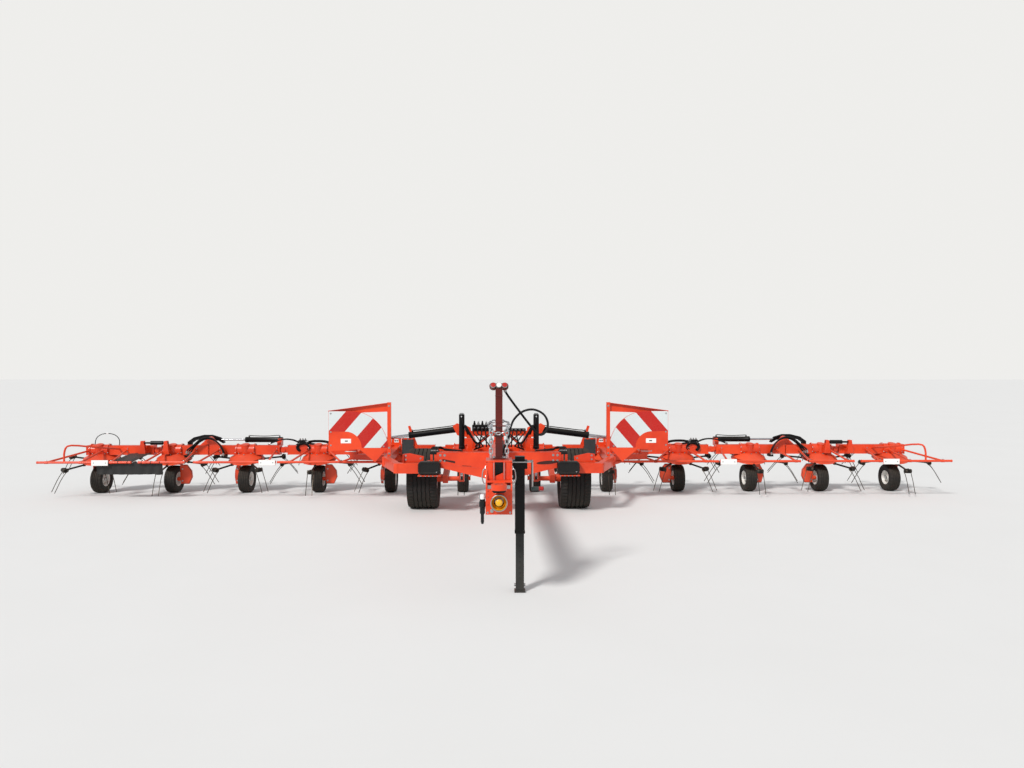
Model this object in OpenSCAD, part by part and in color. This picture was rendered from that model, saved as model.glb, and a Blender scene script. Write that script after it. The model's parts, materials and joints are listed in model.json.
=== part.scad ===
/* [Rotors] */
// Distance between neighbouring rotors
rotor_pitch = 1100; // [1090:2:1110]
// Radius of the circle that the tine tips run on
tip_r = 740; // [720:5:750]
// Forward tilt of the rotor axes, in degrees
rotor_tilt = 13; // [11:0.5:14]
// Height of the rotor hubs above the ground
hub_z = 520; // [515:1:530]
// Radius of the rotor dish
dish_r = 262; // [250:2:270]
// Radius at which the tine coils sit
coil_r = 545; // [535:2:550]
// Drop of the tine tips below the hub centre
tip_drop = 320; // [300:5:325]
// Diameter of the tine wire
wire_d = 10; // [8:1:11]
/* [Ground wheels] */
// Diameter of the small tyres
wheel_d = 410; // [400:2:412]
// Width of the small tyres
wheel_w = 165; // [150:5:170]
/* [Transport wheels] */
// Diameter of the transport tyres
road_d = 800; // [780:5:810]
// Width of the transport tyres
road_w = 400; // [380:5:405]
// Distance of each transport wheel from the machine's middle
road_x = 1010; // [1005:1:1020]
// Distance of the transport axle ahead of the rotor line
road_y = 1400; // [1390:1:1405]
/* [Beams] */
// Height of the beam's centre line above the ground
beam_z = 650; // [648:1:652]
// Height of the beam section
beam_h = 140; // [130:2:142]
// Width of the beam section
beam_w = 120; // [114:2:124]
// Distance of the guard rails ahead of the rotor line
rail_y = 800; // [790:2:820]
// Height of the guard rails
rail_z = 550; // [540:2:560]
// Diameter of the guard tube
rail_d = 34; // [30:1:38]
/* [Hinges] */
// Distance of the wing root hinges from the middle
root_x = 900; // [896:1:904]
// Distance of the first float hinge beyond the rotor inside it
float_b_gap = 520; // [512:2:530]
// Distance of the folding hinge beyond the rotor inside it
fold_gap = 550; // [544:1:556]
// Height of the folding hinge above the ground
fold_z = 805; // [803:1:808]
// Distance of the outer float hinge beyond the rotor inside it
float_d_gap = 220; // [216:1:226]
/* [Drawbar] */
// Distance of the drawbar eye ahead of the rotor line
eye_y = 6000; // [5950:5:6060]
// Height of the drawbar eye
eye_z = 945; // [943:1:948]
// Bore radius of the drawbar eye
eye_bore_r = 25; // [20:1:28]
// Height of the drawbar's centre line at the cross beam
bar_z = 870; // [866:1:876]
// Height of the drawbar's centre line at the nose
bar_front_z = 1000; // [996:1:1004]
// Height of the drive shaft's front end
shaft_z = 820; // [816:1:824]
// Distance of the parking jack from the middle
jack_x = 172; // [168:1:178]
// Distance of the parking jack ahead of the rotor line
jack_y = 5450; // [5430:5:5470]
/* [Hidden] */
$fn = 48;

// Clearances: a turning fit, and the gap between two hinged plates
fit = 0.3;
side_gap = 1;

// Rotors: arms, coils and hub
arms_n = 5;
arm_r = 13;
arm_drop = 30;
skirt_r = 238;
skirt_neck_r = 120;
hub_r = 72;
hub_top = 36;
hub_bottom = -48;
leg_r = 28;
phase = 90 / arms_n;
tine_gap = 90;
coil_wire_r = 30;

// Reaches of the whole machine ahead of and behind the rotor line, and the shift that centres it
eye_r = 60;
rear_reach = tip_r * cos(rotor_tilt) + tip_drop * sin(rotor_tilt) + wire_d / 2;
front_reach = eye_y + eye_r;
line_y = (front_reach - rear_reach) / 2;

// Hinges: knuckle radius, pin radius, half widths of the tongue and of the outer plates
knuckle_r = 45;
pin_r = 18;
tongue_half = 25;
ear_half = 56;
hinge_room = 62;
root_room = 80;
front_hinge_y = 1950;

// Places of the float and fold hinges, and of the boom's end, from the middle
float_b_x = 2.5 * rotor_pitch + float_b_gap;
fold_x = 3.5 * rotor_pitch + fold_gap;
float_d_x = 4.5 * rotor_pitch + float_d_gap;
boom_end = 5.5 * rotor_pitch + 490;

// Guard rails: half gaps at the hinges, and the gap by the first float hinge under the reflector
gap_half = 52;
rail_split = float_b_x - 105;
rail_gap = 12;

// Lift cylinders: pins on the tower and on the wing, and their plane ahead of the rotor line
lift_pin_x = 500;
lift_pin_z = 1020;
lift_eye_x = 2100;
lift_eye_z = 820;
lift_y = 700;
lift_barrel_r = 44;
lift_rod_r = 22;
lift_barrel_len = 803;
lift_neck = 50;
lift_stroke = 734;
lift_bore_start = lift_neck - 4;
lift_rod_back = lift_bore_start + lift_stroke + 2;
lift_len = sqrt(pow(lift_eye_x - lift_pin_x, 2) + pow(lift_eye_z - lift_pin_z, 2));
lift_angle = atan2(lift_eye_z - lift_pin_z, lift_eye_x - lift_pin_x);

// Fold cylinders, behind the beam
fold_cyl_y = 160;
fold_cyl_z = 790;
fold_cyl_r = 40;
fold_rod_r = 15;
fold_back_x = fold_x - 1055;
fold_front_x = fold_x - 490;
fold_eye_x = fold_x + 60;

// Short float cylinder by the outer float hinge: its two lugs, its plane and its height
link_in_x = float_d_x - 170;
link_out_x = float_d_x + 180;
link_y = -150;
link_z = 770;

// Transport axle
axle_pivot_y = 800;
axle_pivot_z = 560;
axle_arm_x = 720;
axle_cyl_x = 500;
axle_cyl_y = 1450;
axle_cyl_r = 38;
axle_rod_r = 20;
axle_cyl_top = 1260;
axle_cyl_foot = 800;

// Nose plates and the drawbar between them
nose_half = 102;
nose_t = 12;
bar_half = nose_half - nose_t - fit;
bar_h = 170;
bar_rear_y = -1900;
bar_nose_y = -eye_y + 300;
nose_bottom = 722;
nose_top = 1128;
mast_top = 1682;
shaft_front_y = -eye_y + 182;
shaft_rear_y = -332;

// Parking jack: top of its outer tube, height of its crank and width of its leg
jack_top = 1120;
crank_z = 1077;
jack_leg_w = 68;
jack_leg_h = 610;
jack_tube_foot = 487;

// Wheel brackets: offset of the wheel behind the rotor line, plate, bridge over the tyre
wheel_y = 20;
plate_t = 12;
bridge_z = wheel_d + 15;
plate_x = wheel_w / 2 + 18;

// Safety chain beside the mast
chain_wire_r = 5;
chain_pitch = 37;
chain_n = 7;
chain_x = 62;
chain_y = 222;

// Centre frame
cross_x = 790;
cross_y = 1950;
cross_half = 64;
cross_top = 805;
long_x = 350;
long_z = beam_z + 25;
lug_x = [root_x - 108, root_x - 56];

red = "orangered";
black = "#202022";
steel = "silver";

// Height of the drawbar's centre line and of the drive shaft's line, at the distance y
function bar_at(y) = bar_z + (bar_front_z - bar_z) * (y - bar_rear_y) / (bar_nose_y - bar_rear_y);
function shaft_at(y) = shaft_z + (beam_z - shaft_z) * (y - shaft_front_y) / (shaft_rear_y - shaft_front_y);

// x of rotor i, counted from the left
function rotor_x(i) = (i - 5.5) * rotor_pitch;

// Moves what is drawn from the rotor line to the row frame
module at_line() { translate([0, line_y, 0]) children(); }

// Draws the right hand piece, or its mirror image for side -1
module on_side(s) {
  at_line()
    if (s < 0) mirror([1, 0, 0]) children();
    else children();
}

// Box section between two points
module bar(a, b, w, h) {
  d = b - a;
  run = norm([d.x, d.y]);
  translate(a)
    rotate([0, -atan2(d.z, run), atan2(d.y, d.x)])
      translate([0, -w / 2, -h / 2]) cube([norm(d), w, h]);
}

// Round bar between two points
module rod(a, b, r) {
  d = b - a;
  translate(a)
    rotate([0, acos(d.z / norm(d)), atan2(d.y, d.x)])
      cylinder(h = norm(d), r = r);
}

// Cylinder along Y from y0 to y1
module along_y(x, z, r, y0, y1) {
  translate([x, y1, z]) rotate([90, 0, 0]) cylinder(h = y1 - y0, r = r);
}

// Cylinder along X from x0 to x1
module along_x(y, z, r, x0, x1) {
  translate([x0, y, z]) rotate([0, 90, 0]) cylinder(h = x1 - x0, r = r);
}

// Plate in the XZ plane from y0 to y1, from an outline
module plate_y(outline, y0, y1) {
  translate([0, y1, 0]) rotate([90, 0, 0]) linear_extrude(y1 - y0) polygon(outline);
}

// Fixed half of a hinge: two ears on the inner side, and the pin
module hinge_ears(x, y, z, root_z, reach) {
  web = knuckle_r - 5;
  for (side = [-1, 1]) {
    y0 = y + (side > 0 ? tongue_half + side_gap : -ear_half);
    y1 = y + (side > 0 ? ear_half : -tongue_half - side_gap);
    along_y(x, z, knuckle_r, y0, y1);
    plate_y([[x, z + web], [x - reach, root_z + web], [x - reach, root_z - web], [x, z - web]], y0, y1);
  }
  along_y(x, z, pin_r, y - ear_half - 14, y + ear_half + 14);
  for (side = [-1, 1]) along_y(x, z, pin_r + 10, y + side * (ear_half + 8) - 6, y + side * (ear_half + 8) + 6);
}

// Moving half of a hinge: the tongue with its bore
module hinge_tongue(x, y, z, root_z, reach) {
  web = knuckle_r - 5;
  difference() {
    union() {
      along_y(x, z, knuckle_r, y - tongue_half, y + tongue_half);
      plate_y([[x, z + web], [x + reach, root_z + web], [x + reach, root_z - web], [x, z - web]],
        y - tongue_half, y + tongue_half);
    }
    along_y(x, z, pin_r + fit, y - tongue_half - 1, y + tongue_half + 1);
  }
}

// Rotor gearbox in the beam, with the fixed leg that carries the ground wheel
module gearbox(x, side) {
  along_x(0, beam_z, 84, x - 130, x + 130);
  for (end = [-1, 1]) along_x(0, beam_z, 96, x + end * 130 - 8, x + end * 130 + 8);
  translate([x, 0, hub_z]) rotate([rotor_tilt, 0, 0]) {
    translate([0, 0, hub_top + 5]) cylinder(h = 150, r = 66);
    translate([0, 0, hub_top + 5]) cylinder(h = 12, r = 84);
    translate([0, 0, 175]) cylinder(h = 50, r = 58);
    translate([0, 0, -92]) cylinder(h = 200, r = leg_r);
    translate([0, 0, hub_bottom - 22]) cylinder(h = 16, r = 42);
    rotate_extrude() polygon([[0, hub_top + 5], [90, hub_top + 5], [skirt_r, 14], [skirt_r + 2, 22],
      [skirt_neck_r, 88], [0, 88]]);
  }
  wheel_bracket(x, side);
}

// Bracket beside the wheel: a bridge over the tyre, a side plate and the stub axle
module wheel_bracket(x, side) {
  translate([x, 0, 0]) mirror([side < 0 ? 1 : 0, 0, 0]) {
    translate([-40, wheel_y - 40, bridge_z]) cube([plate_x + plate_t + 40, 80, 20]);
    translate([plate_x, 0, 0]) rotate([90, 0, 90]) linear_extrude(plate_t) {
      polygon([[wheel_y - 40, bridge_z + 20], [wheel_y + 40, bridge_z + 20],
        [wheel_y + 30, wheel_d / 2], [wheel_y - 30, wheel_d / 2]]);
      translate([wheel_y, wheel_d / 2]) circle(r = 34);
    }
    along_x(wheel_y, wheel_d / 2, 14, -52, plate_x + 1);
    along_x(wheel_y, wheel_d / 2, 24, -60, -50);
    along_x(wheel_y, wheel_d / 2, 30, 52, plate_x + 1);
  }
}

// Ground wheel: round tyre, dished rim with a bored hub
module ground_wheel() {
  r = wheel_d / 2;
  w = wheel_w / 2;
  rotate([0, 90, 0]) rotate_extrude($fn = 64)
    polygon([[14 + fit, -45], [34, -45], [34, -20], [88, -14], [92, -w + 22], [104, -w + 16],
      [128, -w + 4], [165, -w], [190, -w + 12], [r - 4, -w + 36], [r, -w + 60], [r, w - 60],
      [r - 4, w - 36], [190, w - 12], [165, w], [128, w - 4], [104, w - 16], [92, w - 22],
      [88, 0], [34, -4], [34, 45], [14 + fit, 45]]);
}

// Transport wheel: ribbed tyre and a deep rim on a hub
module road_wheel() {
  r = road_d / 2;
  w = road_w / 2;
  rib = 2 * w / 5.6;
  groove = 14;
  rotate([0, 90, 0]) rotate_extrude($fn = 80)
    polygon(concat(
      [[30 + fit, -60], [70, -60], [70, -20], [190, -10], [198, -w + 26], [222, -w + 20],
        [262, -w + 4], [330, -w], [r - 40, -w + 14], [r - 12, -w + 40]],
      [for (i = [-2 : 2]) each [[r, i * rib - rib / 2 + 7], [r, i * rib + rib / 2 - 7],
        if (i < 2) [r - groove, i * rib + rib / 2 - 4],
        if (i < 2) [r - groove, i * rib + rib / 2 + 4]]],
      [[r - 12, w - 40], [r - 40, w - 14], [330, w], [262, w - 4], [222, w - 20], [198, w - 26],
        [190, 10], [70, 0], [70, 60], [30 + fit, 60]]));
}

// Rotor in its own frame: dish on the hub, arms, spring coils and double tines
module rotor_body() {
  difference() {
    union() {
      translate([0, 0, hub_bottom]) cylinder(h = hub_top - hub_bottom, r = hub_r);
      rotate_extrude() polygon([[hub_r - 4, 34], [dish_r, -14], [dish_r, -24], [dish_r - 8, -24],
        [dish_r - 8, -18], [hub_r - 4, 26]]);
      for (k = [0 : arms_n - 1]) rotate([0, 0, phase + 360 / arms_n * k]) rotor_arm();
    }
    translate([0, 0, hub_bottom - 1]) cylinder(h = 200, r = leg_r + fit);
  }
}

// One arm with its coil holder and its pair of tines
module rotor_arm() {
  translate([hub_r - 10, 0, -arm_drop]) rotate([0, 90, 0]) cylinder(h = coil_r - hub_r + 10, r = arm_r);
  along_y(coil_r, -arm_drop, coil_wire_r, -tine_gap / 2 - 6, tine_gap / 2 + 6);
  for (side = [-1, 1]) {
    y = side * tine_gap / 2;
    knee = [coil_r + 95, y, -tip_drop * 0.52];
    rod([coil_r + 12, y, -arm_drop - 18], knee, wire_d / 2);
    rod(knee, [tip_r, y, -tip_drop], wire_d / 2);
    translate(knee) sphere(r = wire_d / 2 + 0.4, $fn = 16);
  }
}

module rotor(i) {
  translate([rotor_x(i), line_y, hub_z]) rotate([rotor_tilt, 0, 0])
    mirror([0, i % 2, 0]) color(red) rotor_body();
}

module wheel(i) {
  translate([rotor_x(i), line_y + wheel_y, wheel_d / 2])
    mirror([wheel_side(i) * (i < 6 ? -1 : 1) < 0 ? 1 : 0, 0, 0]) color(black) ground_wheel();
}

// Side of the wheel's plate, seen from the middle: -1 is the inner side
function wheel_side(i) = (i < 6 ? 5 - i : i - 6) % 2 == 0 ? -1 : 1;

// Beam between two x places
module beam(x0, x1) {
  translate([x0, -beam_w / 2, beam_z - beam_h / 2]) cube([x1 - x0, beam_w, beam_h]);
}

// Guard rail from x0 to x1 with sloping struts to the beam: each strut is [x at beam, x at rail]
module guard(x0, x1, struts) {
  along_x(-rail_y, rail_z, rail_d / 2, x0, x1);
  for (end = [x0 - 2, x1 - 6]) along_x(-rail_y, rail_z, rail_d / 2 + 2, end, end + 8);
  for (s = struts)
    rod([s[0], -beam_w / 2 + 10, beam_z], [s[1], -rail_y, rail_z], rail_d / 2 - 3);
}

// White reflector on the guard rail
module reflector(x) {
  translate([x - 117, -rail_y - rail_d / 2 - 6, rail_z - 45]) cube([235, 8, 80]);
}

module wing_1() {
  beam(root_x + root_room, float_b_x - hinge_room);
  for (k = [1, 2]) gearbox((k + 0.5) * rotor_pitch, k % 2 == 0 ? -1 : 1);
  hinge_tongue(root_x, 0, beam_z, beam_z, root_room + 5);
  hinge_tongue(root_x, -front_hinge_y, beam_z, beam_z, root_room + 5);
  hinge_ears(float_b_x, 0, beam_z, beam_z, hinge_room + 5);
  front_arm();
  guard(1640, rail_split - rail_gap, [[1900, 2250], [2600, 2250], [float_b_x - 380, float_b_x - 290]]);
}

// Front arm of the wing: round the transport wheel, then back over the first rotor to the beam
module front_arm() {
  z = 600;
  a = [root_x + root_room, -front_hinge_y, z];
  b = [1240, -front_hinge_y, z];
  c = [1560, -1180, z];
  d = [1560, -40, beam_z];
  bend_r = 120;
  bar(a, b + [60, 0, 0], 90, 130);
  bar([1300, -1935, z], c + [0, 20, 0], 80, 128);
  bar(c - [0, 40, 0], d, 90, 110);
  translate([c.x, c.y, z - 62]) cylinder(h = 124, r = 49);
  translate([1300, -front_hinge_y, z - 62]) cylinder(h = 124, r = 49);
  bar([1560, -860, z + 15], [lift_eye_x, -lift_y, z + 15], 70, 80);
  bar([lift_eye_x, -lift_y - 35, z + 15], [lift_eye_x, -40, beam_z], 80, 80);
  lift_lug();
  lock_plates();
}

// Ears on the wing that hold the lift cylinder's rod
module lift_lug() {
  for (side = [-1, 1])
    plate_y([[lift_eye_x - 70, 640], [lift_eye_x + 60, 640], [lift_eye_x + 30, lift_eye_z + 30],
      [lift_eye_x - 30, lift_eye_z + 30]],
      -lift_y + side * 31 - 6, -lift_y + side * 31 + 6);
}

// Lock hook and plate with a window beside the first wing gearbox
module lock_plates() {
  plate_y([[1195, 610], [1265, 610], [1385, 1010], [1350, 1020]], -beam_w / 2 - 12, -beam_w / 2 + 2);
  difference() {
    plate_y([[1480, 690], [1640, 690], [1630, 840], [1490, 840]], -beam_w / 2 - 12, -beam_w / 2 + 2);
    plate_y([[1525, 765], [1595, 765], [1590, 815], [1530, 815]], -beam_w / 2 - 13, -beam_w / 2 + 3);
  }
}

module wing_2() {
  beam(float_b_x + hinge_room, fold_x - 8);
  gearbox(3.5 * rotor_pitch, 1);
  hinge_tongue(float_b_x, 0, beam_z, beam_z, hinge_room + 5);
  fold_ears();
  guard(rail_split + rail_gap, fold_x - 60, [[float_b_x + 120, float_b_x + 20], [fold_x - 150, fold_x - 120]]);
  reflector(rail_split + 130);
  fold_barrel();
}

// Raised ears of the folding hinge, on top of the inner beam's end
module fold_ears() {
  top = beam_z + beam_h / 2;
  for (side = [-1, 1]) {
    y0 = side > 0 ? tongue_half + side_gap : -ear_half;
    y1 = side > 0 ? ear_half : -tongue_half - side_gap;
    along_y(fold_x, fold_z, knuckle_r, y0, y1);
    plate_y([[fold_x - 150, top - 2], [fold_x - 8, top - 2], [fold_x - 8, fold_z],
      [fold_x - 20, fold_z + 34], [fold_x - 130, top + 18]], y0, y1);
  }
  along_y(fold_x, fold_z, pin_r, -ear_half - 10, ear_half + 10);
}

// Raised tongue of the folding hinge, on top of the outer beam's end
module fold_tongue() {
  top = beam_z + beam_h / 2;
  difference() {
    union() {
      along_y(fold_x, fold_z, knuckle_r, -tongue_half, tongue_half);
      plate_y([[fold_x + 150, top - 2], [fold_x + 8, top - 2], [fold_x + 8, fold_z],
        [fold_x + 20, fold_z + 34], [fold_x + 130, top + 18]], -tongue_half, tongue_half);
    }
    along_y(fold_x, fold_z, pin_r + fit, -tongue_half - 1, tongue_half + 1);
  }
}

// Barrel of the fold cylinder, on a lug behind the inner beam
module fold_barrel() {
  difference() {
    along_x(fold_cyl_y, fold_cyl_z, fold_cyl_r, fold_back_x, fold_front_x);
    along_x(fold_cyl_y, fold_cyl_z, fold_rod_r + 0.5, fold_back_x + 60, fold_front_x + 1);
  }
  translate([fold_back_x - 5, 50, 620]) cube([60, 60, 150]);
  translate([fold_back_x - 5, 100, 700]) cube([60, 75, 110]);
}

module wing_3() {
  beam(fold_x + 8, float_d_x - hinge_room);
  gearbox(4.5 * rotor_pitch, -1);
  fold_tongue();
  hinge_ears(float_d_x, 0, beam_z, beam_z, hinge_room + 5);
  guard(fold_x + 60, float_d_x - gap_half, [[fold_x + 200, fold_x + 80], [float_d_x - 110, float_d_x - 130]]);
  link_lug(link_in_x);
  translate([fold_x + 335, 50, 600]) cube([60, 142, 118]);
}

module wing_4() {
  hoop_x = boom_end - 380;
  beam(float_d_x + hinge_room, boom_end - 300);
  gearbox(5.5 * rotor_pitch, 1);
  hinge_tongue(float_d_x, 0, beam_z, beam_z, hinge_room + 5);
  guard(float_d_x + gap_half, boom_end,
    [[boom_end - 900, boom_end - 1040], [boom_end - 550, boom_end - 610], [boom_end - 360, boom_end - 130]]);
  reflector(boom_end - 890);
  link_lug(link_out_x);
  hose(curve([[hoop_x, -rail_y, rail_z], [hoop_x - 10, -rail_y, 720], [hoop_x - 90, -780, 790],
    [hoop_x - 340, -560, 740], [hoop_x - 420, -50, beam_z + 20]], 3), rail_d / 2 - 4, 12);
}

// Pair of lugs in front of the beam for the short float cylinder
module link_lug(x) {
  for (side = [-1, 1])
    plate_y([[x - 50, 600], [x + 50, 600], [x + 22, 800], [x - 22, 800]],
      link_y + side * 24 - 5, link_y + side * 24 + 5);
  translate([x - 40, link_y - 30, 610]) cube([80, 130, 50]);
}

// Folding link of the outer wing: two arched plates and the short float cylinder
module fold_link() {
  for (side = [-1, 1])
    translate([0, fold_cyl_y + side * 26 + 5, 0]) rotate([90, 0, 0]) linear_extrude(10)
      translate([fold_x, 0]) polygon([[335, 718 + fit], [395, 718 + fit], [395, 760], [300, 830], [160, 865],
        [30, 865], [-100, 825], [-170, 750], [-150, 735], [-80, 775], [40, 812], [160, 812], [280, 780],
        [335, 740]]);
  along_x(link_y, link_z, 18, link_in_x, link_in_x + 70);
  along_y(link_in_x, link_z, 24, link_y - 19 + fit, link_y + 19 - fit);
  along_x(link_y, link_z, 30, link_in_x + 50, link_in_x + 230);
  along_x(link_y, link_z, 14, link_in_x + 229, link_out_x - 20);
}

// Warning panel with its portal, in front of the wing's first rotor
module panel() {
  y = -1100;
  r = 510;
  foot = 780;
  cx = 2050;
  post_foot = 663;
  translate([0, y + 6, 0]) rotate([90, 0, 0]) linear_extrude(6) difference() {
    union() {
      translate([cx, foot]) circle(r = r, $fn = 96);
      translate([cx, foot]) square([310, r]);
    }
    translate([0, foot - 900]) square([3000, 900]);
    translate([2360, 0]) square([900, 2000]);
  }
  plate_y([[1545, foot + 4], [1960, foot + 4], [1720, 580]], y, y + 6);
  plate_y([[1960, foot + 4], [2360, foot + 4], [2360, foot - 45], [1930, foot - 20]], y, y + 6);
  translate([1500, y + 5, post_foot]) cube([50, 50, 1410 - post_foot]);
  plate_y([[1504, 1408], [2366, 1290], [2366, 1250], [1544, 1280]], y + 46, y + 51);
  bar([1500, y + 30, 1409], [2370, y + 30, 1291], 50, 5);
  for (z = [800, 1240]) translate([2310, y + 5, z]) cube([40, 46, 40]);
  translate([1640, y + 5, 700]) cube([40, 300, 40]);
}

module wing_frame(k, s) {
  on_side(s) color(red) {
    if (k == 1) wing_1();
    if (k == 2) wing_2();
    if (k == 3) wing_3();
    if (k == 4) wing_4();
  }
}

// Lift cylinder, turned to its line from the tower to the wing
module lift_frame(s) {
  on_side(s) translate([lift_pin_x, -lift_y, lift_pin_z]) rotate([0, -lift_angle, 0]) children();
}

module lift_barrel() {
  difference() {
    union() {
      along_x(0, 0, lift_barrel_r, lift_neck, lift_barrel_len);
      along_x(0, 0, lift_barrel_r + 5, lift_barrel_len - 40, lift_barrel_len - 1);
      along_y(0, 0, 36, -24, 24);
      translate([0, -24, -30]) cube([lift_neck + 2, 48, 60]);
    }
    along_y(0, 0, pin_r + fit, -60, 60);
    along_x(0, 0, lift_rod_r + fit, lift_bore_start, lift_barrel_len + 1);
  }
}

module lift_rod() {
  along_x(0, 0, lift_rod_r, lift_rod_back, lift_len - 20);
  difference() {
    along_y(lift_len, 0, 32, -25 + fit, 25 - fit);
    along_y(lift_len, 0, 16, -26, 26);
  }
}

// Rod of the fold cylinder with its eye between the arched plates
module fold_rod() {
  along_x(fold_cyl_y, fold_cyl_z, fold_rod_r, fold_eye_x - 560, fold_eye_x - 15);
  difference() {
    along_y(fold_eye_x, fold_cyl_z, 24, fold_cyl_y - 18, fold_cyl_y + 18);
    along_y(fold_eye_x, fold_cyl_z, 12, fold_cyl_y - 19, fold_cyl_y + 19);
  }
}

// Centre frame: cross beam, long members, tower and front wing bearings
module centre_frame() {
  cross_beam();
  for (s = [-1, 1]) mirror([s < 0 ? 1 : 0, 0, 0]) {
    bar([long_x, -cross_y + 40, long_z], [long_x, -beam_w / 2 - fit, long_z], 100, 120);
    hinge_ears(root_x, -front_hinge_y, beam_z, beam_z, root_x - cross_x + 10);
    translate([root_x - 145, -front_hinge_y - 170, beam_z - 95]) cube([260, 90, 130]);
    translate([root_x - 145, -front_hinge_y - 90, beam_z - 75]) cube([60, 40, 100]);
    for (x = lug_x)
      translate([x, -front_hinge_y - ear_half + 3, beam_z + 28]) cube([30, 24, 100]);
    tower_side();
    translate([axle_arm_x - 190, -axle_pivot_y - 60, axle_pivot_z - 60]) axle_bearing();
  }
  bar([-long_x - 105, -lift_y, 950], [long_x + 105, -lift_y, 950], 78, 70);
}

// Bearing block that holds the axle's pivot tube
module axle_bearing() {
  difference() {
    cube([40, 120, 170]);
    translate([-1, 60, 60]) rotate([0, 90, 0]) cylinder(h = 42, r = 45 + fit);
  }
  translate([-190, 5, 112]) cube([200, 110, 46]);
}

// Cross beam: its lower edge slopes down to the middle, with a hole for the drive shaft
module cross_beam() {
  difference() {
    plate_y([[-cross_x, cross_top], [cross_x, cross_top], [cross_x, 620], [160, 470], [-160, 470],
      [-cross_x, 620]], -cross_y - cross_half, -cross_y + cross_half);
    along_y(0, shaft_at(-cross_y), 75, -cross_y - cross_half - 1, -cross_y + cross_half + 1);
  }
}

// One side of the tower: leaning post, ears for the lift cylinder and a brace
module tower_side() {
  bar([long_x, -lift_y, 700], [long_x + 85, -lift_y, 940], 90, 90);
  for (side = [-1, 1]) {
    plate_y([[long_x + 40, 900], [long_x + 150, 900], [lift_pin_x + 45, lift_pin_z - 10],
      [lift_pin_x + 20, lift_pin_z + 42], [lift_pin_x - 20, lift_pin_z + 42], [long_x + 60, 1030]],
      -lift_y + side * 35 - 8, -lift_y + side * 35 + 8);
    along_y(lift_pin_x, lift_pin_z, 30, -lift_y + side * 47 - 5, -lift_y + side * 47 + 5);
  }
  along_y(lift_pin_x, lift_pin_z, pin_r, -lift_y - 50, -lift_y + 50);
  bar([long_x, -200, 705], [long_x + 60, -lift_y + 20, 930], 60, 60);
  bar([long_x + 60, -axle_cyl_y, 900], [axle_cyl_x - axle_cyl_r - fit, -axle_cyl_y, 900], 60, 80);
  bar([long_x + 40, -axle_cyl_y, 700], [long_x + 40, -axle_cyl_y, 941], 60, 60);
}

// Centre beam with the two inner gearboxes and the main gearbox
module centre_beam() {
  beam(-root_x + root_room, root_x - root_room);
  for (s = [-1, 1]) mirror([s < 0 ? 1 : 0, 0, 0]) {
    gearbox(rotor_pitch / 2, -1);
    hinge_ears(root_x, 0, beam_z, beam_z, root_room + 5);
  }
  translate([-130, -250, beam_z - 110]) cube([260, 310, 230]);
  along_y(0, beam_z, 95, -300, -240);
  along_y(0, beam_z, 26, -330, -290);
}

// Drawbar: a box section from the cross beam to the nose, with a gusset and the hook for the shaft
module drawbar() {
  seat_y = -cross_y - cross_half - fit;
  difference() {
    bar([0, bar_rear_y, bar_z], [0, bar_nose_y, bar_front_z], 2 * bar_half, bar_h);
    translate([-bar_half - 1, seat_y, cross_top - 100]) cube([2 * bar_half + 2, 200, 100 + fit]);
  }
  difference() {
    for (s = [-1, 1])
      translate([s * (bar_half + 5), 0, 0]) rotate([90, 0, 90]) translate([0, 0, -6]) linear_extrude(12)
        polygon([[seat_y, 500], [seat_y, 940], [-cross_y - 620, 940], [-cross_y - 620, 820]]);
    rod([0, -eye_y + 100, shaft_z], [0, -330, beam_z], 70);
  }
  translate([-60, -2330, bar_at(-2330) + bar_h / 2 - 4]) cube([120, 110, 62]);
}

// Nose: side plates, front plate, drawbar eye and the window under the mast
module nose() {
  y0 = -eye_y + 90;
  y1 = -eye_y + 380;
  shelf_z = eye_z + 20;
  for (s = [-1, 1])
    translate([s * (nose_half - nose_t / 2) - nose_t / 2, 0, 0]) rotate([90, 0, 90]) linear_extrude(nose_t)
      polygon([[y0, nose_bottom], [y0, shelf_z - 30], [y0 + 60, nose_top - 60], [y0 + 60, nose_top - 20],
        [y0 + 90, nose_top], [y1, nose_top], [y1, 900], [y0 + 140, nose_bottom]]);
  difference() {
    translate([-nose_half, y0 - 12, nose_bottom]) cube([2 * nose_half, 12, 195]);
    along_y(0, shaft_z, 40, y0 - 13, y0 + 1);
  }
  translate([-nose_half, y0 + 58, nose_top - 12]) cube([2 * nose_half, 210, 12]);
  for (x = [-40, 40]) translate([x - 7, y0 + 45, shelf_z]) cube([14, 14, nose_top - shelf_z - 8]);
  translate([-nose_half, y0 + 2, shelf_z]) cube([2 * nose_half, 60, 14]);
  difference() {
    union() {
      translate([0, -eye_y, eye_z - 22]) cylinder(h = 44, r = eye_r);
      translate([-40, -eye_y, eye_z - 22]) cube([80, 150, 44]);
    }
    translate([0, -eye_y, eye_z - 23]) cylinder(h = 46, r = eye_bore_r);
  }
}

module pto_guard() {
  y0 = -eye_y + 10;
  y1 = -eye_y + 78 - fit;
  difference() {
    along_y(0, shaft_z, 63, y0, y1);
    along_y(0, shaft_z, 57, y0 - 1, y1 + 1);
  }
}

// Splined input shaft in its bearing
module pto_shaft() {
  y0 = -eye_y + 20;
  y1 = shaft_front_y - fit;
  along_y(0, shaft_z, 17.45, y0, y0 + 90);
  along_y(0, shaft_z, 34, y0 + 90, y1);
}

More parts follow.
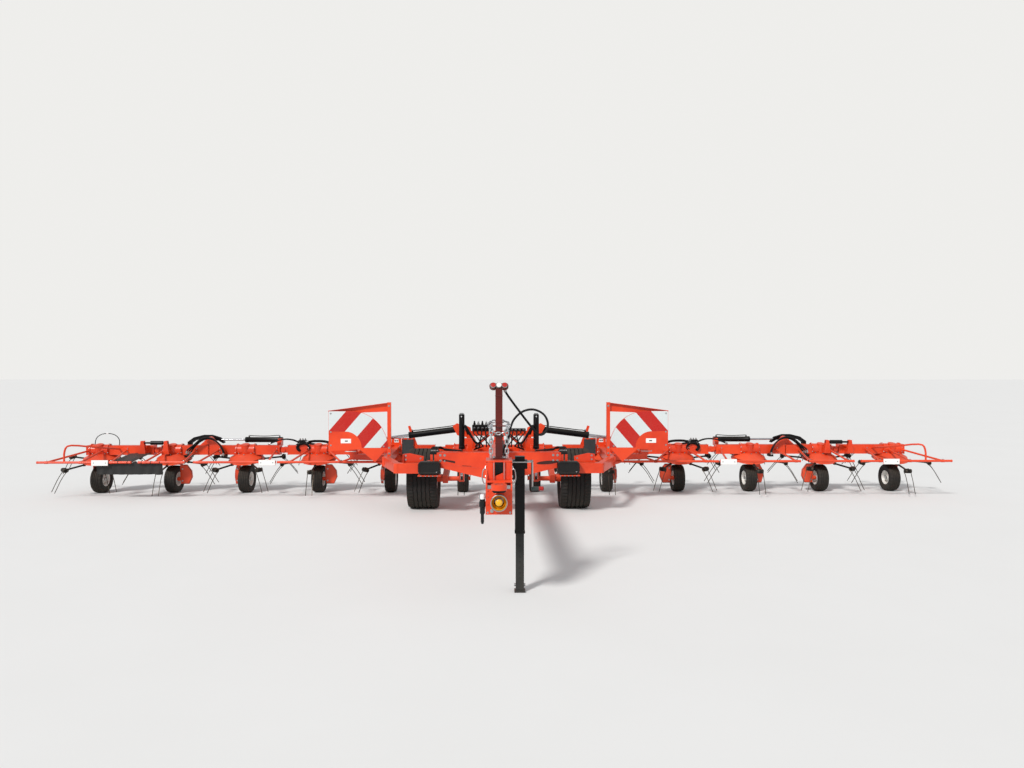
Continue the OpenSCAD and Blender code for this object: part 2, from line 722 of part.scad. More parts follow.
// Guarded drive shaft from the nose to the main gearbox, with a bell at each end
module driveline() {
  a = [0, shaft_front_y, shaft_z];
  b = [0, shaft_rear_y, beam_z];
  bell = 220;
  rod(a + [0, 30, 0], b - [0, 30, 0], 38);
  along_y(0, shaft_z, 58, shaft_front_y, shaft_front_y + bell);
  along_y(0, beam_z, 58, shaft_rear_y - bell, shaft_rear_y);
  rod(a + (b - a) * 0.45, a + (b - a) * 0.5, 48);
  for (t = [0.12, 0.62]) {
    p = a + (b - a) * t;
    translate([-12, p.y - 20, p.z + 30]) cube([24, 40, bar_at(p.y + 20) - bar_h / 2 - p.z - 30.5]);
  }
}

// Mast that carries the hoses
module hose_mast() {
  y = -eye_y + 260;
  translate([-28, y - 28, nose_top]) cube([56, 56, mast_top - nose_top]);
  translate([-50, y - 40, nose_top]) cube([100, 80, 12]);
  for (x = [-45, 0, 45]) translate([x, y, mast_top + 18]) rotate([60, 0, 0]) difference() {
    cylinder(h = 20, r = 30, center = true);
    cylinder(h = 22, r = 18, center = true);
  }
  translate([-50, y - 10, mast_top - 7]) cube([100, 20, 16]);
  hook_z = nose_top + 29.3 + (chain_n - 1) * chain_pitch + 12;
  along_x(-eye_y + chain_y, hook_z, 5.6, -76, 76);
  translate([-12, -eye_y + chain_y - 8, hook_z - 8]) cube([24, y - 20 + eye_y - chain_y, 16]);
}

// Outer tube of the parking jack with its clamp to the drawbar and its crank
module jack_tube() {
  outer = 80;
  inner = jack_leg_w + 2 * fit;
  translate([jack_x, -jack_y, 0]) {
    difference() {
      translate([-outer / 2, -outer / 2, jack_tube_foot]) cube([outer, outer, jack_top - jack_tube_foot]);
      translate([-inner / 2, -inner / 2, jack_tube_foot - 1]) cube([inner, inner, jack_top - jack_tube_foot - 11]);
    }
    translate([-outer / 2 - 20, -outer / 2 - 12, jack_top - 100]) cube([outer + 40, outer + 24, 70]);
    translate([bar_half - jack_x + fit, -50, bar_at(-jack_y) - 60])
      cube([jack_x - bar_half - outer / 2 + 2, 100, 120]);
    along_x(0, crank_z, 9, -75, 110);
    rod([102, 0, crank_z], [102, 0, crank_z - 225], 9);
    along_x(0, crank_z - 225, 16, 95, 197);
  }
}

module jack_leg() {
  translate([jack_x, -jack_y, 0]) {
    translate([-jack_leg_w / 2, -jack_leg_w / 2, 0]) cube([jack_leg_w, jack_leg_w, jack_leg_h]);
    translate([-45, -45, 0]) cube([90, 90, 14]);
  }
}

module axle_barrels() {
  for (s = [-1, 1]) translate([s * axle_cyl_x, -axle_cyl_y, 0]) difference() {
    translate([0, 0, axle_cyl_foot]) cylinder(h = axle_cyl_top - axle_cyl_foot, r = axle_cyl_r);
    translate([0, 0, axle_cyl_foot - 1]) cylinder(h = axle_cyl_top - axle_cyl_foot - 30, r = axle_rod_r + 0.5);
  }
}

module axle_rods() {
  for (s = [-1, 1]) translate([s * axle_cyl_x, -axle_cyl_y, 0]) {
    translate([0, 0, 470]) cylinder(h = 700, r = axle_rod_r);
    along_x(0, 450, 30, -15, 15);
  }
}

// Transport axle: pivot tube, arms and stub axles, with forks for the two cylinders
module axle() {
  along_x(-axle_pivot_y, axle_pivot_z, 45, -axle_arm_x - 50, axle_arm_x + 50);
  for (s = [-1, 1]) mirror([s < 0 ? 1 : 0, 0, 0]) {
    bar([axle_arm_x, -axle_pivot_y + 30, axle_pivot_z + 6],
      [axle_arm_x, -road_y - 70, road_d / 2 - 10], 70, 110);
    along_x(-road_y, road_d / 2, 30, axle_arm_x, road_x + 62);
    along_x(-road_y, road_d / 2, 52, axle_arm_x + 20, road_x - 62);
    along_x(-road_y, road_d / 2, 48, road_x + 61, road_x + 75);
    along_x(-road_y - 20, road_d / 2 - 6, 32, axle_cyl_x + 22, axle_arm_x);
    for (x = [axle_cyl_x - 34, axle_cyl_x + 18])
      translate([x, -axle_cyl_y - 40, road_d / 2 - 40]) cube([16, 90, 110]);
    translate([axle_cyl_x - 34, -axle_cyl_y - 40, road_d / 2 - 40]) cube([68, 90, 16]);
  }
}

// Points of a smooth curve through p, n steps from each point to the next
function curve_point(p, i, t) = let (
    a = p[max(i - 1, 0)], b = p[i], c = p[i + 1], d = p[min(i + 2, len(p) - 1)])
  0.5 * (2 * b + (c - a) * t + (2 * a - 5 * b + 4 * c - d) * t * t
    + (3 * b - a - 3 * c + d) * t * t * t);
function curve(p, n) =
  [for (i = [0 : len(p) - 2]) for (k = [0 : n - 1]) curve_point(p, i, k / n), p[len(p) - 1]];
function unit(v) = v / norm(v);
function turn(v, a, b) = let (axis = cross(a, b), c = a * b)
  v * c + cross(axis, v) + axis * (axis * v) / (1 + c);
function tangent(p, i) = unit(p[min(i + 1, len(p) - 1)] - p[max(i - 1, 0)]);
function side_at(p, i) = i == 0
  ? unit(cross(tangent(p, 0), abs(tangent(p, 0).z) < 0.9 ? [0, 0, 1] : [1, 0, 0]))
  : turn(side_at(p, i - 1), tangent(p, i - 1), tangent(p, i));

// Round hose through the points p
module hose(p, r, sides = 8) {
  n = len(p);
  rings = [for (i = [0 : n - 1]) let (u = side_at(p, i), v = cross(tangent(p, i), u))
    for (k = [0 : sides - 1]) p[i] + r * (u * cos(360 * k / sides) + v * sin(360 * k / sides))];
  walls = [for (i = [0 : n - 2]) for (k = [0 : sides - 1])
    [i * sides + k, i * sides + (k + 1) % sides, (i + 1) * sides + (k + 1) % sides, (i + 1) * sides + k]];
  ends = [[for (k = [sides - 1 : -1 : 0]) k], [for (k = [0 : sides - 1]) (n - 1) * sides + k]];
  polyhedron(points = rings, faces = concat([for (w = walls) [w[3], w[2], w[1], w[0]]],
    [for (e = ends) [for (k = [len(e) - 1 : -1 : 0]) e[k]]]));
}

// Hydraulic hoses from the mast, round a loop, to the valve block on the drawbar
hose_r = 9;
hose_loop = [[35, -5690, 1690], [75, -5660, 1620], [187, -5565, 1467], [290, -5480, 1335], [345, -5425, 1293],
  [395, -5375, 1322], [411, -5330, 1390], [375, -5300, 1460], [290, -5300, 1498], [200, -5300, 1480],
  [128, -5300, 1415], [95, -5290, 1330], [78, -5250, 1220], [62, -5170, 1130]];
function on_bar(x, y) = [x, y, bar_at(y) + bar_h / 2 + hose_r + 1];
hose_laid = [on_bar(53, -5080) + [0, 0, 22], on_bar(49, -4980) + [0, 0, 4], on_bar(46, -4850), on_bar(45, -4600),
  on_bar(45, -4000), on_bar(45, -3100), on_bar(45, -2331)];
hose_gap = 26;
function beside(p) = p.z > 1300 ? [p.x, p.y + hose_gap, p.z]
  : p.z > 1200 ? [p.x - 0.6 * hose_gap, p.y + 0.8 * hose_gap, p.z]
  : [p.x - hose_gap, p.y, p.z];

module hoses() {
  route = concat(hose_loop, hose_laid);
  hose(curve(route, 4), hose_r);
  hose(curve([for (p = route) beside(p)], 4), hose_r);
}

// Safety chain draped round the mast
module chain_link_shape() {
  straight = 12;
  for (s = [-1, 1]) {
    translate([s * straight, 0, 0]) rotate([0, 0, s > 0 ? -90 : 90])
      rotate_extrude(angle = 180, $fn = 24) translate([12, 0]) circle(r = chain_wire_r, $fn = 16);
    along_x(s * 12, 0, chain_wire_r, -straight, straight);
  }
}

module chain() {
  for (side = [-1, 1]) for (k = [0 : chain_n - 1])
    translate([side * chain_x, -eye_y + chain_y, nose_top + 29.3 + k * chain_pitch]) rotate([0, 90, 0])
      rotate([k % 2 * 90, 0, 0]) chain_link_shape();
}

for (i = [0 : 11]) {
  rotor(i);
  wheel(i);
}
for (s = [-1, 1]) {
  e = s < 0 ? "l" : "r";
  for (k = [1 : 4]) wing_frame(k, s);
  on_side(s) color(red) panel();
  lift_frame(s) color(black) lift_barrel();
  lift_frame(s) color(steel) lift_rod();
  on_side(s) color(black) fold_link();
  on_side(s) color(steel) fold_rod();
  on_side(s) translate([road_x, -road_y, road_d / 2]) color(black) road_wheel();
}
at_line() color(red) drawbar();
at_line() color(red) nose();
at_line() color(steel) pto_guard();
at_line() color(black) driveline();
at_line() color(red) centre_frame();
at_line() color(red) centre_beam();
at_line() color("darkred") hose_mast();
at_line() color(black) jack_tube();
at_line() color(black) hoses();
at_line() color(steel) chain();
at_line() color(black) axle_barrels();
at_line() color(red) axle();
at_line() color(steel) axle_rods();
at_line() color(black) jack_leg();
at_line() color("gold") pto_shaft();
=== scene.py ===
import json
import math

import bmesh
import bpy
from mathutils import Matrix, Vector


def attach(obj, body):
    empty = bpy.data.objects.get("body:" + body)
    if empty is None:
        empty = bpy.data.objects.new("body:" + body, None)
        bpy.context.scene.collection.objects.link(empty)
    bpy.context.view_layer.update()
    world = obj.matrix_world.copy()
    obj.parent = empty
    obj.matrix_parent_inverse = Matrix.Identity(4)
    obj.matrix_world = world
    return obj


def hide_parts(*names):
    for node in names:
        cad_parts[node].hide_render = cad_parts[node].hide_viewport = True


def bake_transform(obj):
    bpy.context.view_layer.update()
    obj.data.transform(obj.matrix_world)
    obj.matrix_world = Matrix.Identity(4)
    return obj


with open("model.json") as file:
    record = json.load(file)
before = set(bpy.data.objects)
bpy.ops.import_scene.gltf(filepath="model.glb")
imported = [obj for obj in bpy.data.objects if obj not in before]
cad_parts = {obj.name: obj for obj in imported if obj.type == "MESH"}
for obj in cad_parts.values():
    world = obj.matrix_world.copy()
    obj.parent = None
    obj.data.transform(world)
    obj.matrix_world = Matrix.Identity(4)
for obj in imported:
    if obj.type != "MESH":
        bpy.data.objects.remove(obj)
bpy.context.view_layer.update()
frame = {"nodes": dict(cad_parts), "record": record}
scene = bpy.context.scene
scene.view_settings.view_transform = "Standard"

# Places that the source also uses, in metres. Most y values below are measured from the rotor line.
TILT = math.radians(13)
LINE = 2.630991
PITCH = 1.1
ROTORS = 12
EYE_Y = LINE - 6.0
BEAM_Z, BEAM_H, BEAM_W = 0.65, 0.14, 0.12
HUB_Z = 0.52
RAIL_Y, RAIL_Z, RAIL_R = -0.8, 0.55, 0.017
SHAFT_Z = 0.82
ENDS = {"l": -1, "r": 1}


def bar_at(y):
    """Height of the drawbar's centre line at y, measured from the rotor line."""
    return 0.87 + 0.13 * (y + 1.9) / (-5.7 + 1.9)


def new_object(name, data):
    """Object for a mesh, light or camera, linked to the scene."""
    obj = bpy.data.objects.new(name, data)
    scene.collection.objects.link(obj)
    return obj


# Camera, as the photograph was taken: in front of the machine, at eye height
PHOTO_WIDTH, FOCAL_PIXELS = 1024, 770
SENSOR = 36
CAMERA_AT = (0, LINE - 11.8, 1.79)
CAMERA_DOWN, CAMERA_RIGHT = math.radians(0.67), math.radians(0.97)
camera = bpy.data.cameras.new("camera")
camera.sensor_width = SENSOR
camera.lens = FOCAL_PIXELS / PHOTO_WIDTH * SENSOR
camera.clip_end = 300
eye = new_object("camera", camera)
eye.location = CAMERA_AT
eye.rotation_euler = (math.pi / 2 - CAMERA_DOWN, 0, -CAMERA_RIGHT)
scene.camera = eye

# Mesh tools
TURNS = {"up": (0, "X"), "front": (90, "X"), "back": (-90, "X"), 1: (90, "Y"), -1: (-90, "Y")}
UP, FRONT = Vector((0, 0, 1)), (0, -1, 0)


def facing(p, way):
    """Matrix at p with its Z turned up, to the front, to the back, right (1) or left (-1)."""
    degrees, axis = TURNS[way]
    return Matrix.Translation(p) @ Matrix.Rotation(math.radians(degrees), 4, axis)


def angles(n, part=0.0):
    """Even steps round the circle, the first one turned by a part of a step."""
    return [2 * math.pi * (k + part) / n for k in range(n)]


def arc(x, z, r, first, steps):
    """Quarter circle of (x, z) points from an angle in degrees."""
    turn = [math.radians(first + 90 * k / steps) for k in range(steps + 1)]
    return [(x + r * math.cos(a), z + r * math.sin(a)) for a in turn]


def both_ends(*makers):
    """Calls each maker with the end's letter and side, left first."""
    for e, s in ENDS.items():
        for make in makers:
            make(e, s)


def net(rows, n, turn=False, ring=True, start=0):
    """Faces of rows of n points; turn joins the last row to the first, ring closes each row."""
    faces = []
    for i in range(rows if turn else rows - 1):
        a, b = start + i * n, start + (i + 1) % rows * n
        faces += [(a + k, a + (k + 1) % n, b + (k + 1) % n, b + k) for k in range(n if ring else n - 1)]
    return faces


def sheet_faces(rows, n):
    """Faces of two nets of points, one behind the other, joined round the edge."""
    size = rows * n
    edge = [*range(n), *[(j + 1) * n - 1 for j in range(1, rows)],
            *[size - 1 - i for i in range(1, n)], *[(rows - 1 - j) * n for j in range(1, rows - 1)]]
    strip = [(a, c, c + size, a + size) for a, c in zip(edge, edge[1:] + edge[:1])]
    return net(rows, n, ring=False) + net(rows, n, ring=False, start=size) + strip


class Build:
    """Collects faces with a material number for each.

    Places are measured from (x, y, 0), and side -1 mirrors them to the left. A place that is given as a
    matrix, and what add() takes, are in the scene's own frame.
    """

    def __init__(self, side=1, y=0.0, x=0.0):
        self.side, self.y, self.x = side, y, x
        self.v, self.f, self.m = [], [], []

    def at(self, p):
        return self.x + self.side * p[0], self.y + p[1], p[2]

    def add(self, verts, faces, mat=0):
        n = len(self.v)
        self.v += [tuple(p) for p in verts]
        self.f += [tuple(n + i for i in f) for f in faces]
        self.m += [mat] * len(faces)

    def tube(self, path, r, sides=8, mat=0, caps=True):
        path = [Vector(self.at(p)) for p in path]
        last = len(path) - 1
        verts, up = [], None
        for i, p in enumerate(path):
            t = (path[min(i + 1, last)] - path[max(i - 1, 0)]).normalized()
            up = (t.orthogonal() if up is None else up - t * up.dot(t)).normalized()
            side = t.cross(up)
            verts += [p + r * (up * math.cos(a) + side * math.sin(a)) for a in angles(sides)]
        faces = net(last + 1, sides)
        if caps:
            faces += [tuple(range(sides))[::-1], tuple(last * sides + k for k in range(sides))]
        self.add(verts, faces, mat)

    def curve(self, points, steps, r, sides=8, mat=0):
        """Tube along a smooth curve through points."""
        self.tube(smooth_path(points, steps), r, sides, mat)

    def lathe(self, profile, place, sides=32, mat=0, close=True, way="up"):
        """Turns (radius, height) pairs round the Z of a matrix, or of a place and the way it faces."""
        if not isinstance(place, Matrix):
            place = facing(self.at(place), way)
        verts = [place @ Vector((r * math.cos(a), r * math.sin(a), z))
                 for a in angles(sides) for r, z in profile]
        self.add(verts, net(sides, len(profile), turn=True, ring=close), mat)

    def block(self, lo, hi, mat, b, place=None):
        """Box with edges chamfered by b."""
        if place is None:
            lo, hi, place = self.at(lo), self.at(hi), Matrix.Identity(4)
        (x0, x1), (y0, z0), (y1, z1) = sorted((lo[0], hi[0])), lo[1:], hi[1:]
        pts, index = [], {}
        for i, (x, sx) in enumerate(((x0, 1), (x1, -1))):
            for j, (y, sy) in enumerate(((y0, 1), (y1, -1))):
                for k, (z, sz) in enumerate(((z0, 1), (z1, -1))):
                    index[i, j, k] = len(pts)
                    xb, yb, zb = x + sx * b, y + sy * b, z + sz * b
                    pts += [(x, yb, zb), (xb, y, zb), (xb, yb, z)]
        faces = []
        for i in (0, 1):
            faces.append(tuple(index[i, j, k] for j, k in ((0, 0), (0, 1), (1, 1), (1, 0))))
            faces.append(tuple(index[j, i, k] + 1 for j, k in ((0, 0), (1, 0), (1, 1), (0, 1))))
            faces.append(tuple(index[j, k, i] + 2 for j, k in ((0, 0), (0, 1), (1, 1), (1, 0))))
        for i in (0, 1):
            for j in (0, 1):
                a, c = index[i, j, 0], index[i, j, 1]
                faces.append((a, c, c + 1, a + 1))
                a, c = index[i, 0, j], index[i, 1, j]
                faces.append((a, a + 2, c + 2, c))
                a, c = index[0, i, j], index[1, i, j]
                faces.append((a + 1, a + 2, c + 2, c + 1))
                for k in (0, 1):
                    a = index[i, j, k]
                    faces.append((a, a + 1, a + 2))
        self.add([place @ Vector(p) for p in pts], faces, mat)

    def prism(self, outline, y0, y1, mat=0):
        """Plate from an outline of (x, z) pairs, between two y values."""
        n = len(outline)
        pts = [self.at((x, y, z)) for y in (y0, y1) for x, z in outline]
        faces = [tuple(range(n)), tuple(range(2 * n - 1, n - 1, -1))]
        faces += [(i, n + i, n + (i + 1) % n, (i + 1) % n) for i in range(n)]
        self.add(pts, faces, mat)

    def head(self, place, out, r, h, mat, washer=True):
        """Hexagon head with a chamfer on a washer, in the scene's frame; out points away from the surface."""
        m = Matrix.Translation(place) @ Vector(out).normalized().to_track_quat("Z", "Y").to_matrix().to_4x4()
        if washer:
            inner, outer, low, high = r * 0.45, r * 1.35, -0.001, 0.0015
            self.lathe([(inner, low), (outer, low), (outer, high), (inner, high)], m, 14, mat)
        ring = [(0.0005, h + 0.001), (r * 0.78, h + 0.001), (r, h * 0.8), (r, 0.001), (0.0005, 0.001)]
        self.lathe(ring, m, 6, mat)

    def bolts(self, places, out, r, h, mat=1, washer=True):
        for p in places:
            self.head(self.at(p), (self.side * out[0], out[1], out[2]), r, h, mat, washer)

    def front_bolts(self, y, places, r, h, mat=1, washer=True):
        """Bolts that look to the front, at (x, z) places."""
        self.bolts([(x, y, z) for x, z in places], FRONT, r, h, mat, washer)

    def bolt_ring(self, place, radius, z, count, r, h, mat, part=0.0, clear=-1.0):
        """Bolts round a matrix's Z, apart from those that would sit nearer to the rotor line than clear."""
        for a in angles(count, part):
            p = place @ Vector((radius * math.cos(a), radius * math.sin(a), z))
            if abs(p.y - LINE) > clear:
                self.head(p, place.to_3x3() @ UP, r, h, mat)

    def piece(self, name, mats, body, slot, smooth=40, replaces=()):
        mesh = bpy.data.meshes.new(name)
        mesh.from_pydata(self.v, [], self.f)
        mesh.polygons.foreach_set("material_index", self.m)
        for mat in mats:
            mesh.materials.append(mat)
        bm = bmesh.new()
        bm.from_mesh(mesh)
        bmesh.ops.recalc_face_normals(bm, faces=bm.faces)
        for f in bm.faces:
            f.smooth = True
        for e in bm.edges:
            e.smooth = len(e.link_faces) == 2 and e.calc_face_angle(0) < math.radians(smooth)
        bm.to_mesh(mesh)
        bm.free()
        obj = new_object(name, mesh)
        if body:
            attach(obj, body)
        if replaces:
            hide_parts(*replaces)
        return obj


def smooth_path(points, steps=6):
    """Catmull-Rom curve through points."""
    p = [Vector(q) for q in points]
    out = []
    for i in range(len(p) - 1):
        a, b, c, d = p[max(i - 1, 0)], p[i], p[i + 1], p[min(i + 2, len(p) - 1)]
        for k in range(steps):
            t = k / steps
            out.append(0.5 * (2 * b + (c - a) * t + (2 * a - 5 * b + 4 * c - d) * t * t
                              + (3 * b - a - 3 * c + d) * t ** 3))
    return out + [p[-1]]


# Materials
def srgb(r, g, b):
    """Linear colour from screen values of 0 to 255."""
    return tuple((c / 255 / 12.92 if c / 255 <= 0.04045 else ((c / 255 + 0.055) / 1.055) ** 2.4)
                 for c in (r, g, b)) + (1.0,)


DUST = srgb(168, 150, 118)


def shade(base, k):
    """The same colour, k times as light."""
    return tuple(k * v for v in base[:3]) + (1,)


class Mat:
    """A node material that starts from a Principled shader and object coordinates."""

    def __init__(self, name, roughness=0.4, metallic=0.0, coat=0.0, specular=0.4):
        self.mat = bpy.data.materials.new(name)
        self.mat.use_nodes = True
        self.t = self.mat.node_tree
        self.b = self.t.nodes["Principled BSDF"]
        start = {"Metallic": metallic, "Roughness": roughness, "Specular IOR Level": specular}
        if coat:
            start.update({"Coat Weight": coat, "Coat Roughness": 0.15})
        for socket, value in start.items():
            self.b.inputs[socket].default_value = value
        self.co = self.n("TexCoord").outputs["Object"]

    def put(self, socket, value):
        """Links another node's output to a socket, or sets a plain value."""
        if hasattr(value, "is_linked"):
            self.t.links.new(value, socket)
        else:
            socket.default_value = value

    def n(self, kind, inputs=None, **props):
        node = self.t.nodes.new("ShaderNode" + kind)
        for name, value in props.items():
            setattr(node, name, value)
        for socket, value in (inputs or {}).items():
            self.put(node.inputs[socket], value)
        return node

    def noise(self, scale, detail=3, rough=0.55, stretch=None):
        at = self.n("Mapping", {"Vector": self.co, "Scale": stretch}).outputs[0] if stretch else self.co
        inputs = {"Vector": at, "Scale": scale, "Detail": detail, "Roughness": rough}
        return self.n("TexNoise", inputs).outputs["Fac"]

    def ramp(self, fac, low, high, start=0.0, end=1.0):
        node = self.n("ValToRGB", {0: fac})
        for stop, place, color in zip(node.color_ramp.elements, (start, end), (low, high)):
            stop.position = place
            stop.color = color
        return node.outputs[0]

    def mix(self, fac, a, b):
        return self.n("Mix", {0: fac, 6: a, 7: b}, data_type="RGBA").outputs[2]

    def math(self, op, a, b=0.0, clamp=False):
        return self.n("Math", {0: a, 1: b}, operation=op, use_clamp=clamp).outputs[0]

    def times(self, a, b, clamp=False):
        return self.math("MULTIPLY", a, b, clamp)

    def over(self, a, b):
        return self.math("GREATER_THAN", a, b)

    def xyz(self, source):
        return self.n("SeparateXYZ", {0: source}).outputs

    def normal(self):
        return self.n("NewGeometry").outputs["Normal"]

    def edge(self, radius=0.004):
        """1 along sharp edges, 0 elsewhere."""
        soft = self.n("Bevel", {"Radius": radius}, samples=4).outputs[0]
        dot = self.n("VectorMath", {0: soft, 1: self.normal()}, operation="DOT_PRODUCT")
        return self.math("SUBTRACT", 1.0, dot.outputs["Value"], True)

    def dusty(self, color, amount, low=0.15, high=0.75):
        """Dust that gathers on faces that look up and towards the ground; gives colour and amount."""
        top = self.times(self.math("MAXIMUM", self.xyz(self.normal())[2], 0.0), 0.55)
        near = self.math("DIVIDE", self.math("SUBTRACT", high, self.xyz(self.co)[2]), high - low, True)
        fac = self.times(self.math("ADD", top, self.times(near, 0.45)), self.noise(9, 4, 0.65))
        fac = self.times(fac, amount, True)
        return self.mix(fac, color, DUST), fac

    def finish(self, color, rough, bump):
        """Links colour, roughness (factor, low, high) and bump (height, strength, distance)."""
        shine = self.n("MapRange", dict(zip((0, "To Min", "To Max"), rough))).outputs[0]
        relief = self.n("Bump", dict(zip(("Height", "Strength", "Distance"), bump))).outputs[0]
        for socket, value in (("Base Color", color), ("Roughness", shine), ("Normal", relief)):
            self.put(self.b.inputs[socket], value)
        return self.mat


def paint(name, base, dark, coat=0.12, dust=0.3, wear=(0.3, 0.29, 0.28, 1), specular=0.35):
    """Sprayed machine paint: soft shade changes, orange peel, dust and worn edges."""
    m = Mat(name, 0.32, 0.0, coat, specular)
    fine = m.noise(34, 3, 0.6)
    body = m.mix(m.times(fine, 0.16), m.ramp(m.noise(2.3, 4, 0.6), dark, base, 0.35, 0.62), dark)
    dusted, fac = m.dusty(body, dust)
    edge = m.times(m.edge(), m.over(m.noise(60, 3, 0.7), 0.52))
    shine = m.math("ADD", m.times(fac, 1.6), m.times(fine, 0.25), True)
    return m.finish(m.mix(m.times(edge, 1.4, True), dusted, wear), (shine, 0.26, 0.72),
                    (m.noise(260, 2, 0.5), 0.12, 0.0006))


def metal(name, base, roughness, brushed=None, dust=0.25, spots=0.0):
    """Bare metal, plain or brushed along one axis, with rust spots where asked."""
    m = Mat(name, roughness, 1.0)
    c = m.mix(m.noise(40, 4, 0.6, brushed), base, shade(base, 0.78))
    if spots:
        c = m.mix(m.times(m.over(m.noise(55, 5, 0.75), 0.62), spots), c, srgb(112, 62, 30))
    return m.finish(m.dusty(c, dust)[0], (m.noise(70, 3, 0.6, brushed), roughness * 0.7, roughness * 1.5),
                    (m.noise(180, 2, 0.5, brushed), 0.1, 0.0004))


def galvanised():
    """Zinc dip with its crystals."""
    m = Mat("galvanised", 0.42, 0.85)
    cell = m.xyz(m.n("TexVoronoi", {"Scale": 160, "Vector": m.co}).outputs["Color"])[0]
    c = m.ramp(cell, srgb(150, 153, 155), srgb(206, 208, 209))
    return m.finish(m.dusty(c, 0.2)[0], (cell, 0.3, 0.55), (cell, 0.08, 0.0003))


def rubber(name, base, dust, grain=300):
    """Dull rubber with a fine grain and dust near the ground."""
    m = Mat(name, 0.8, 0.0, 0.0, 0.22)
    c = m.mix(m.times(m.noise(22, 4, 0.65), 0.5), base, shade(base, 1.7))
    return m.finish(m.dusty(c, dust, 0.0, 0.5)[0], (m.noise(50, 3, 0.6), 0.62, 0.92),
                    (m.noise(grain, 3, 0.6), 0.25, 0.0008))


def rim():
    """White rim paint with dirt in the dish and rust spots at the bolts."""
    m = Mat("rim_paint", 0.38, 0.0, 0.2)
    c = m.mix(m.times(m.noise(14, 4, 0.6), 0.5), srgb(232, 232, 228), srgb(205, 204, 198))
    c = m.mix(m.times(m.over(m.noise(70, 5, 0.8), 0.68), 0.5), c, srgb(140, 92, 58))
    c, fac = m.dusty(c, 0.6, 0.0, 0.5)
    return m.finish(c, (fac, 0.3, 0.75), (m.noise(200, 2, 0.5), 0.1, 0.0006))


def plastic(name, base, roughness=0.42):
    """Plain plastic with a little dust and grain."""
    m = Mat(name, roughness, 0.0, 0.0, 0.3)
    c, fac = m.dusty(m.mix(m.times(m.noise(18, 3, 0.6), 0.35), base, shade(base, 0.8)), 0.12)
    return m.finish(c, (fac, roughness * 0.8, 0.8), (m.noise(520, 2, 0.5), 0.25, 0.0004))


def foil(name, base):
    """Reflective sheet with a fine honeycomb."""
    m = Mat(name, 0.24, 0.0, 0.15, 0.3)
    comb = m.n("TexVoronoi", {"Scale": 260, "Vector": m.co}, feature="DISTANCE_TO_EDGE")
    cell = m.over(comb.outputs["Distance"], 0.08)
    c = m.mix(m.times(m.noise(6, 3, 0.6), 0.08), m.mix(m.times(cell, 0.3), shade(base, 0.84), base), DUST)
    return m.finish(c, (m.noise(12, 3, 0.6), 0.18, 0.36), (cell, 0.08, 0.0003))


def tarpaulin():
    """Dark woven cloth."""
    m = Mat("tarpaulin", 0.6, 0.0, 0.0, 0.3)
    c = m.mix(m.times(m.noise(7, 4, 0.6), 0.7), srgb(38, 40, 42), srgb(24, 25, 27))
    warp, weft = [m.n("TexWave", {"Scale": 260, "Vector": m.co}, wave_type="BANDS", bands_direction=way)
                  for way in "XZ"]
    weave = m.times(warp.outputs["Fac"], weft.outputs["Fac"])
    return m.finish(m.dusty(c, 0.18)[0], (weave, 0.42, 0.7), (weave, 0.3, 0.0004))


red = paint("red_paint", srgb(229, 70, 28), srgb(206, 53, 19))
dark_red = paint("dark_red_paint", srgb(98, 21, 10), srgb(70, 12, 7), 0.1, 0.15)
black = paint("black_paint", srgb(17, 17, 19), srgb(9, 9, 10), 0.0, 0.12, srgb(84, 80, 76), 0.18)
leg_grey = paint("leg_paint", srgb(46, 48, 49), srgb(35, 37, 38), 0.0, 0.16, srgb(104, 100, 94), 0.2)
chrome = metal("rod_chrome", srgb(205, 206, 208), 0.14, (1, 30, 30), 0.1)
zinc = metal("zinc", srgb(188, 189, 188), 0.34, None, 0.2)
spring_steel = metal("spring_steel", srgb(74, 70, 66), 0.42, None, 0.35, 0.35)
galv = galvanised()
tyre_rubber = rubber("tyre", srgb(25, 25, 27), 0.26, 420)
hose_rubber = rubber("hose_rubber", srgb(17, 17, 19), 0.08)
flap_rubber = rubber("flap_rubber", srgb(50, 54, 55), 0.15)
rim_paint = rim()
yellow = plastic("yellow_plastic", srgb(240, 178, 24))
white_plastic = plastic("white_plastic", srgb(232, 232, 230))
black_plastic = plastic("black_plastic", srgb(16, 17, 18), 0.3)
grip_red = plastic("grip_red", srgb(170, 36, 32))
grip_grey = plastic("grip_grey", srgb(52, 66, 64))
foil_white = foil("foil_white", srgb(222, 230, 230))
foil_red = foil("foil_red", srgb(196, 10, 8))
plate_white = plastic("plate_white", srgb(238, 238, 234), 0.3)
label_dark = plastic("label_dark", srgb(62, 30, 26), 0.3)
tarp = tarpaulin()

# CAD nodes that stay take their slot's material, or one of their own
SLOT_MATS = {"red_paint": red, "dark_red_paint": dark_red, "panel_paint": red, "black_paint": black,
             "tyre": tyre_rubber, "rod_chrome": chrome, "hose_rubber": hose_rubber, "galvanised": galv}
OWN = {"jack_leg": leg_grey, "pto_guard": zinc, "pto_shaft": zinc, "driveline": black_plastic}
slot_of = {s["node"]: s["material_slot"] for s in frame["record"]["subparts"]}
for name, obj in frame["nodes"].items():
    obj.data.materials.clear()
    obj.data.materials.append(OWN.get(name, SLOT_MATS[slot_of[name]]))


# Rotors
ARMS = 5
ARM_Z, ARM_TIP = -0.03, 0.545
COIL_R, COIL_TURNS, COIL_STEPS = 0.027, 3.25, 29
TINE = ((0.575, -0.085), (0.61, -0.127), (0.64, -0.1664), (0.668, -0.209), (0.704, -0.2643),
        (0.7385, -0.3175))


def rotor_x(i):
    return (i - 5.5) * PITCH


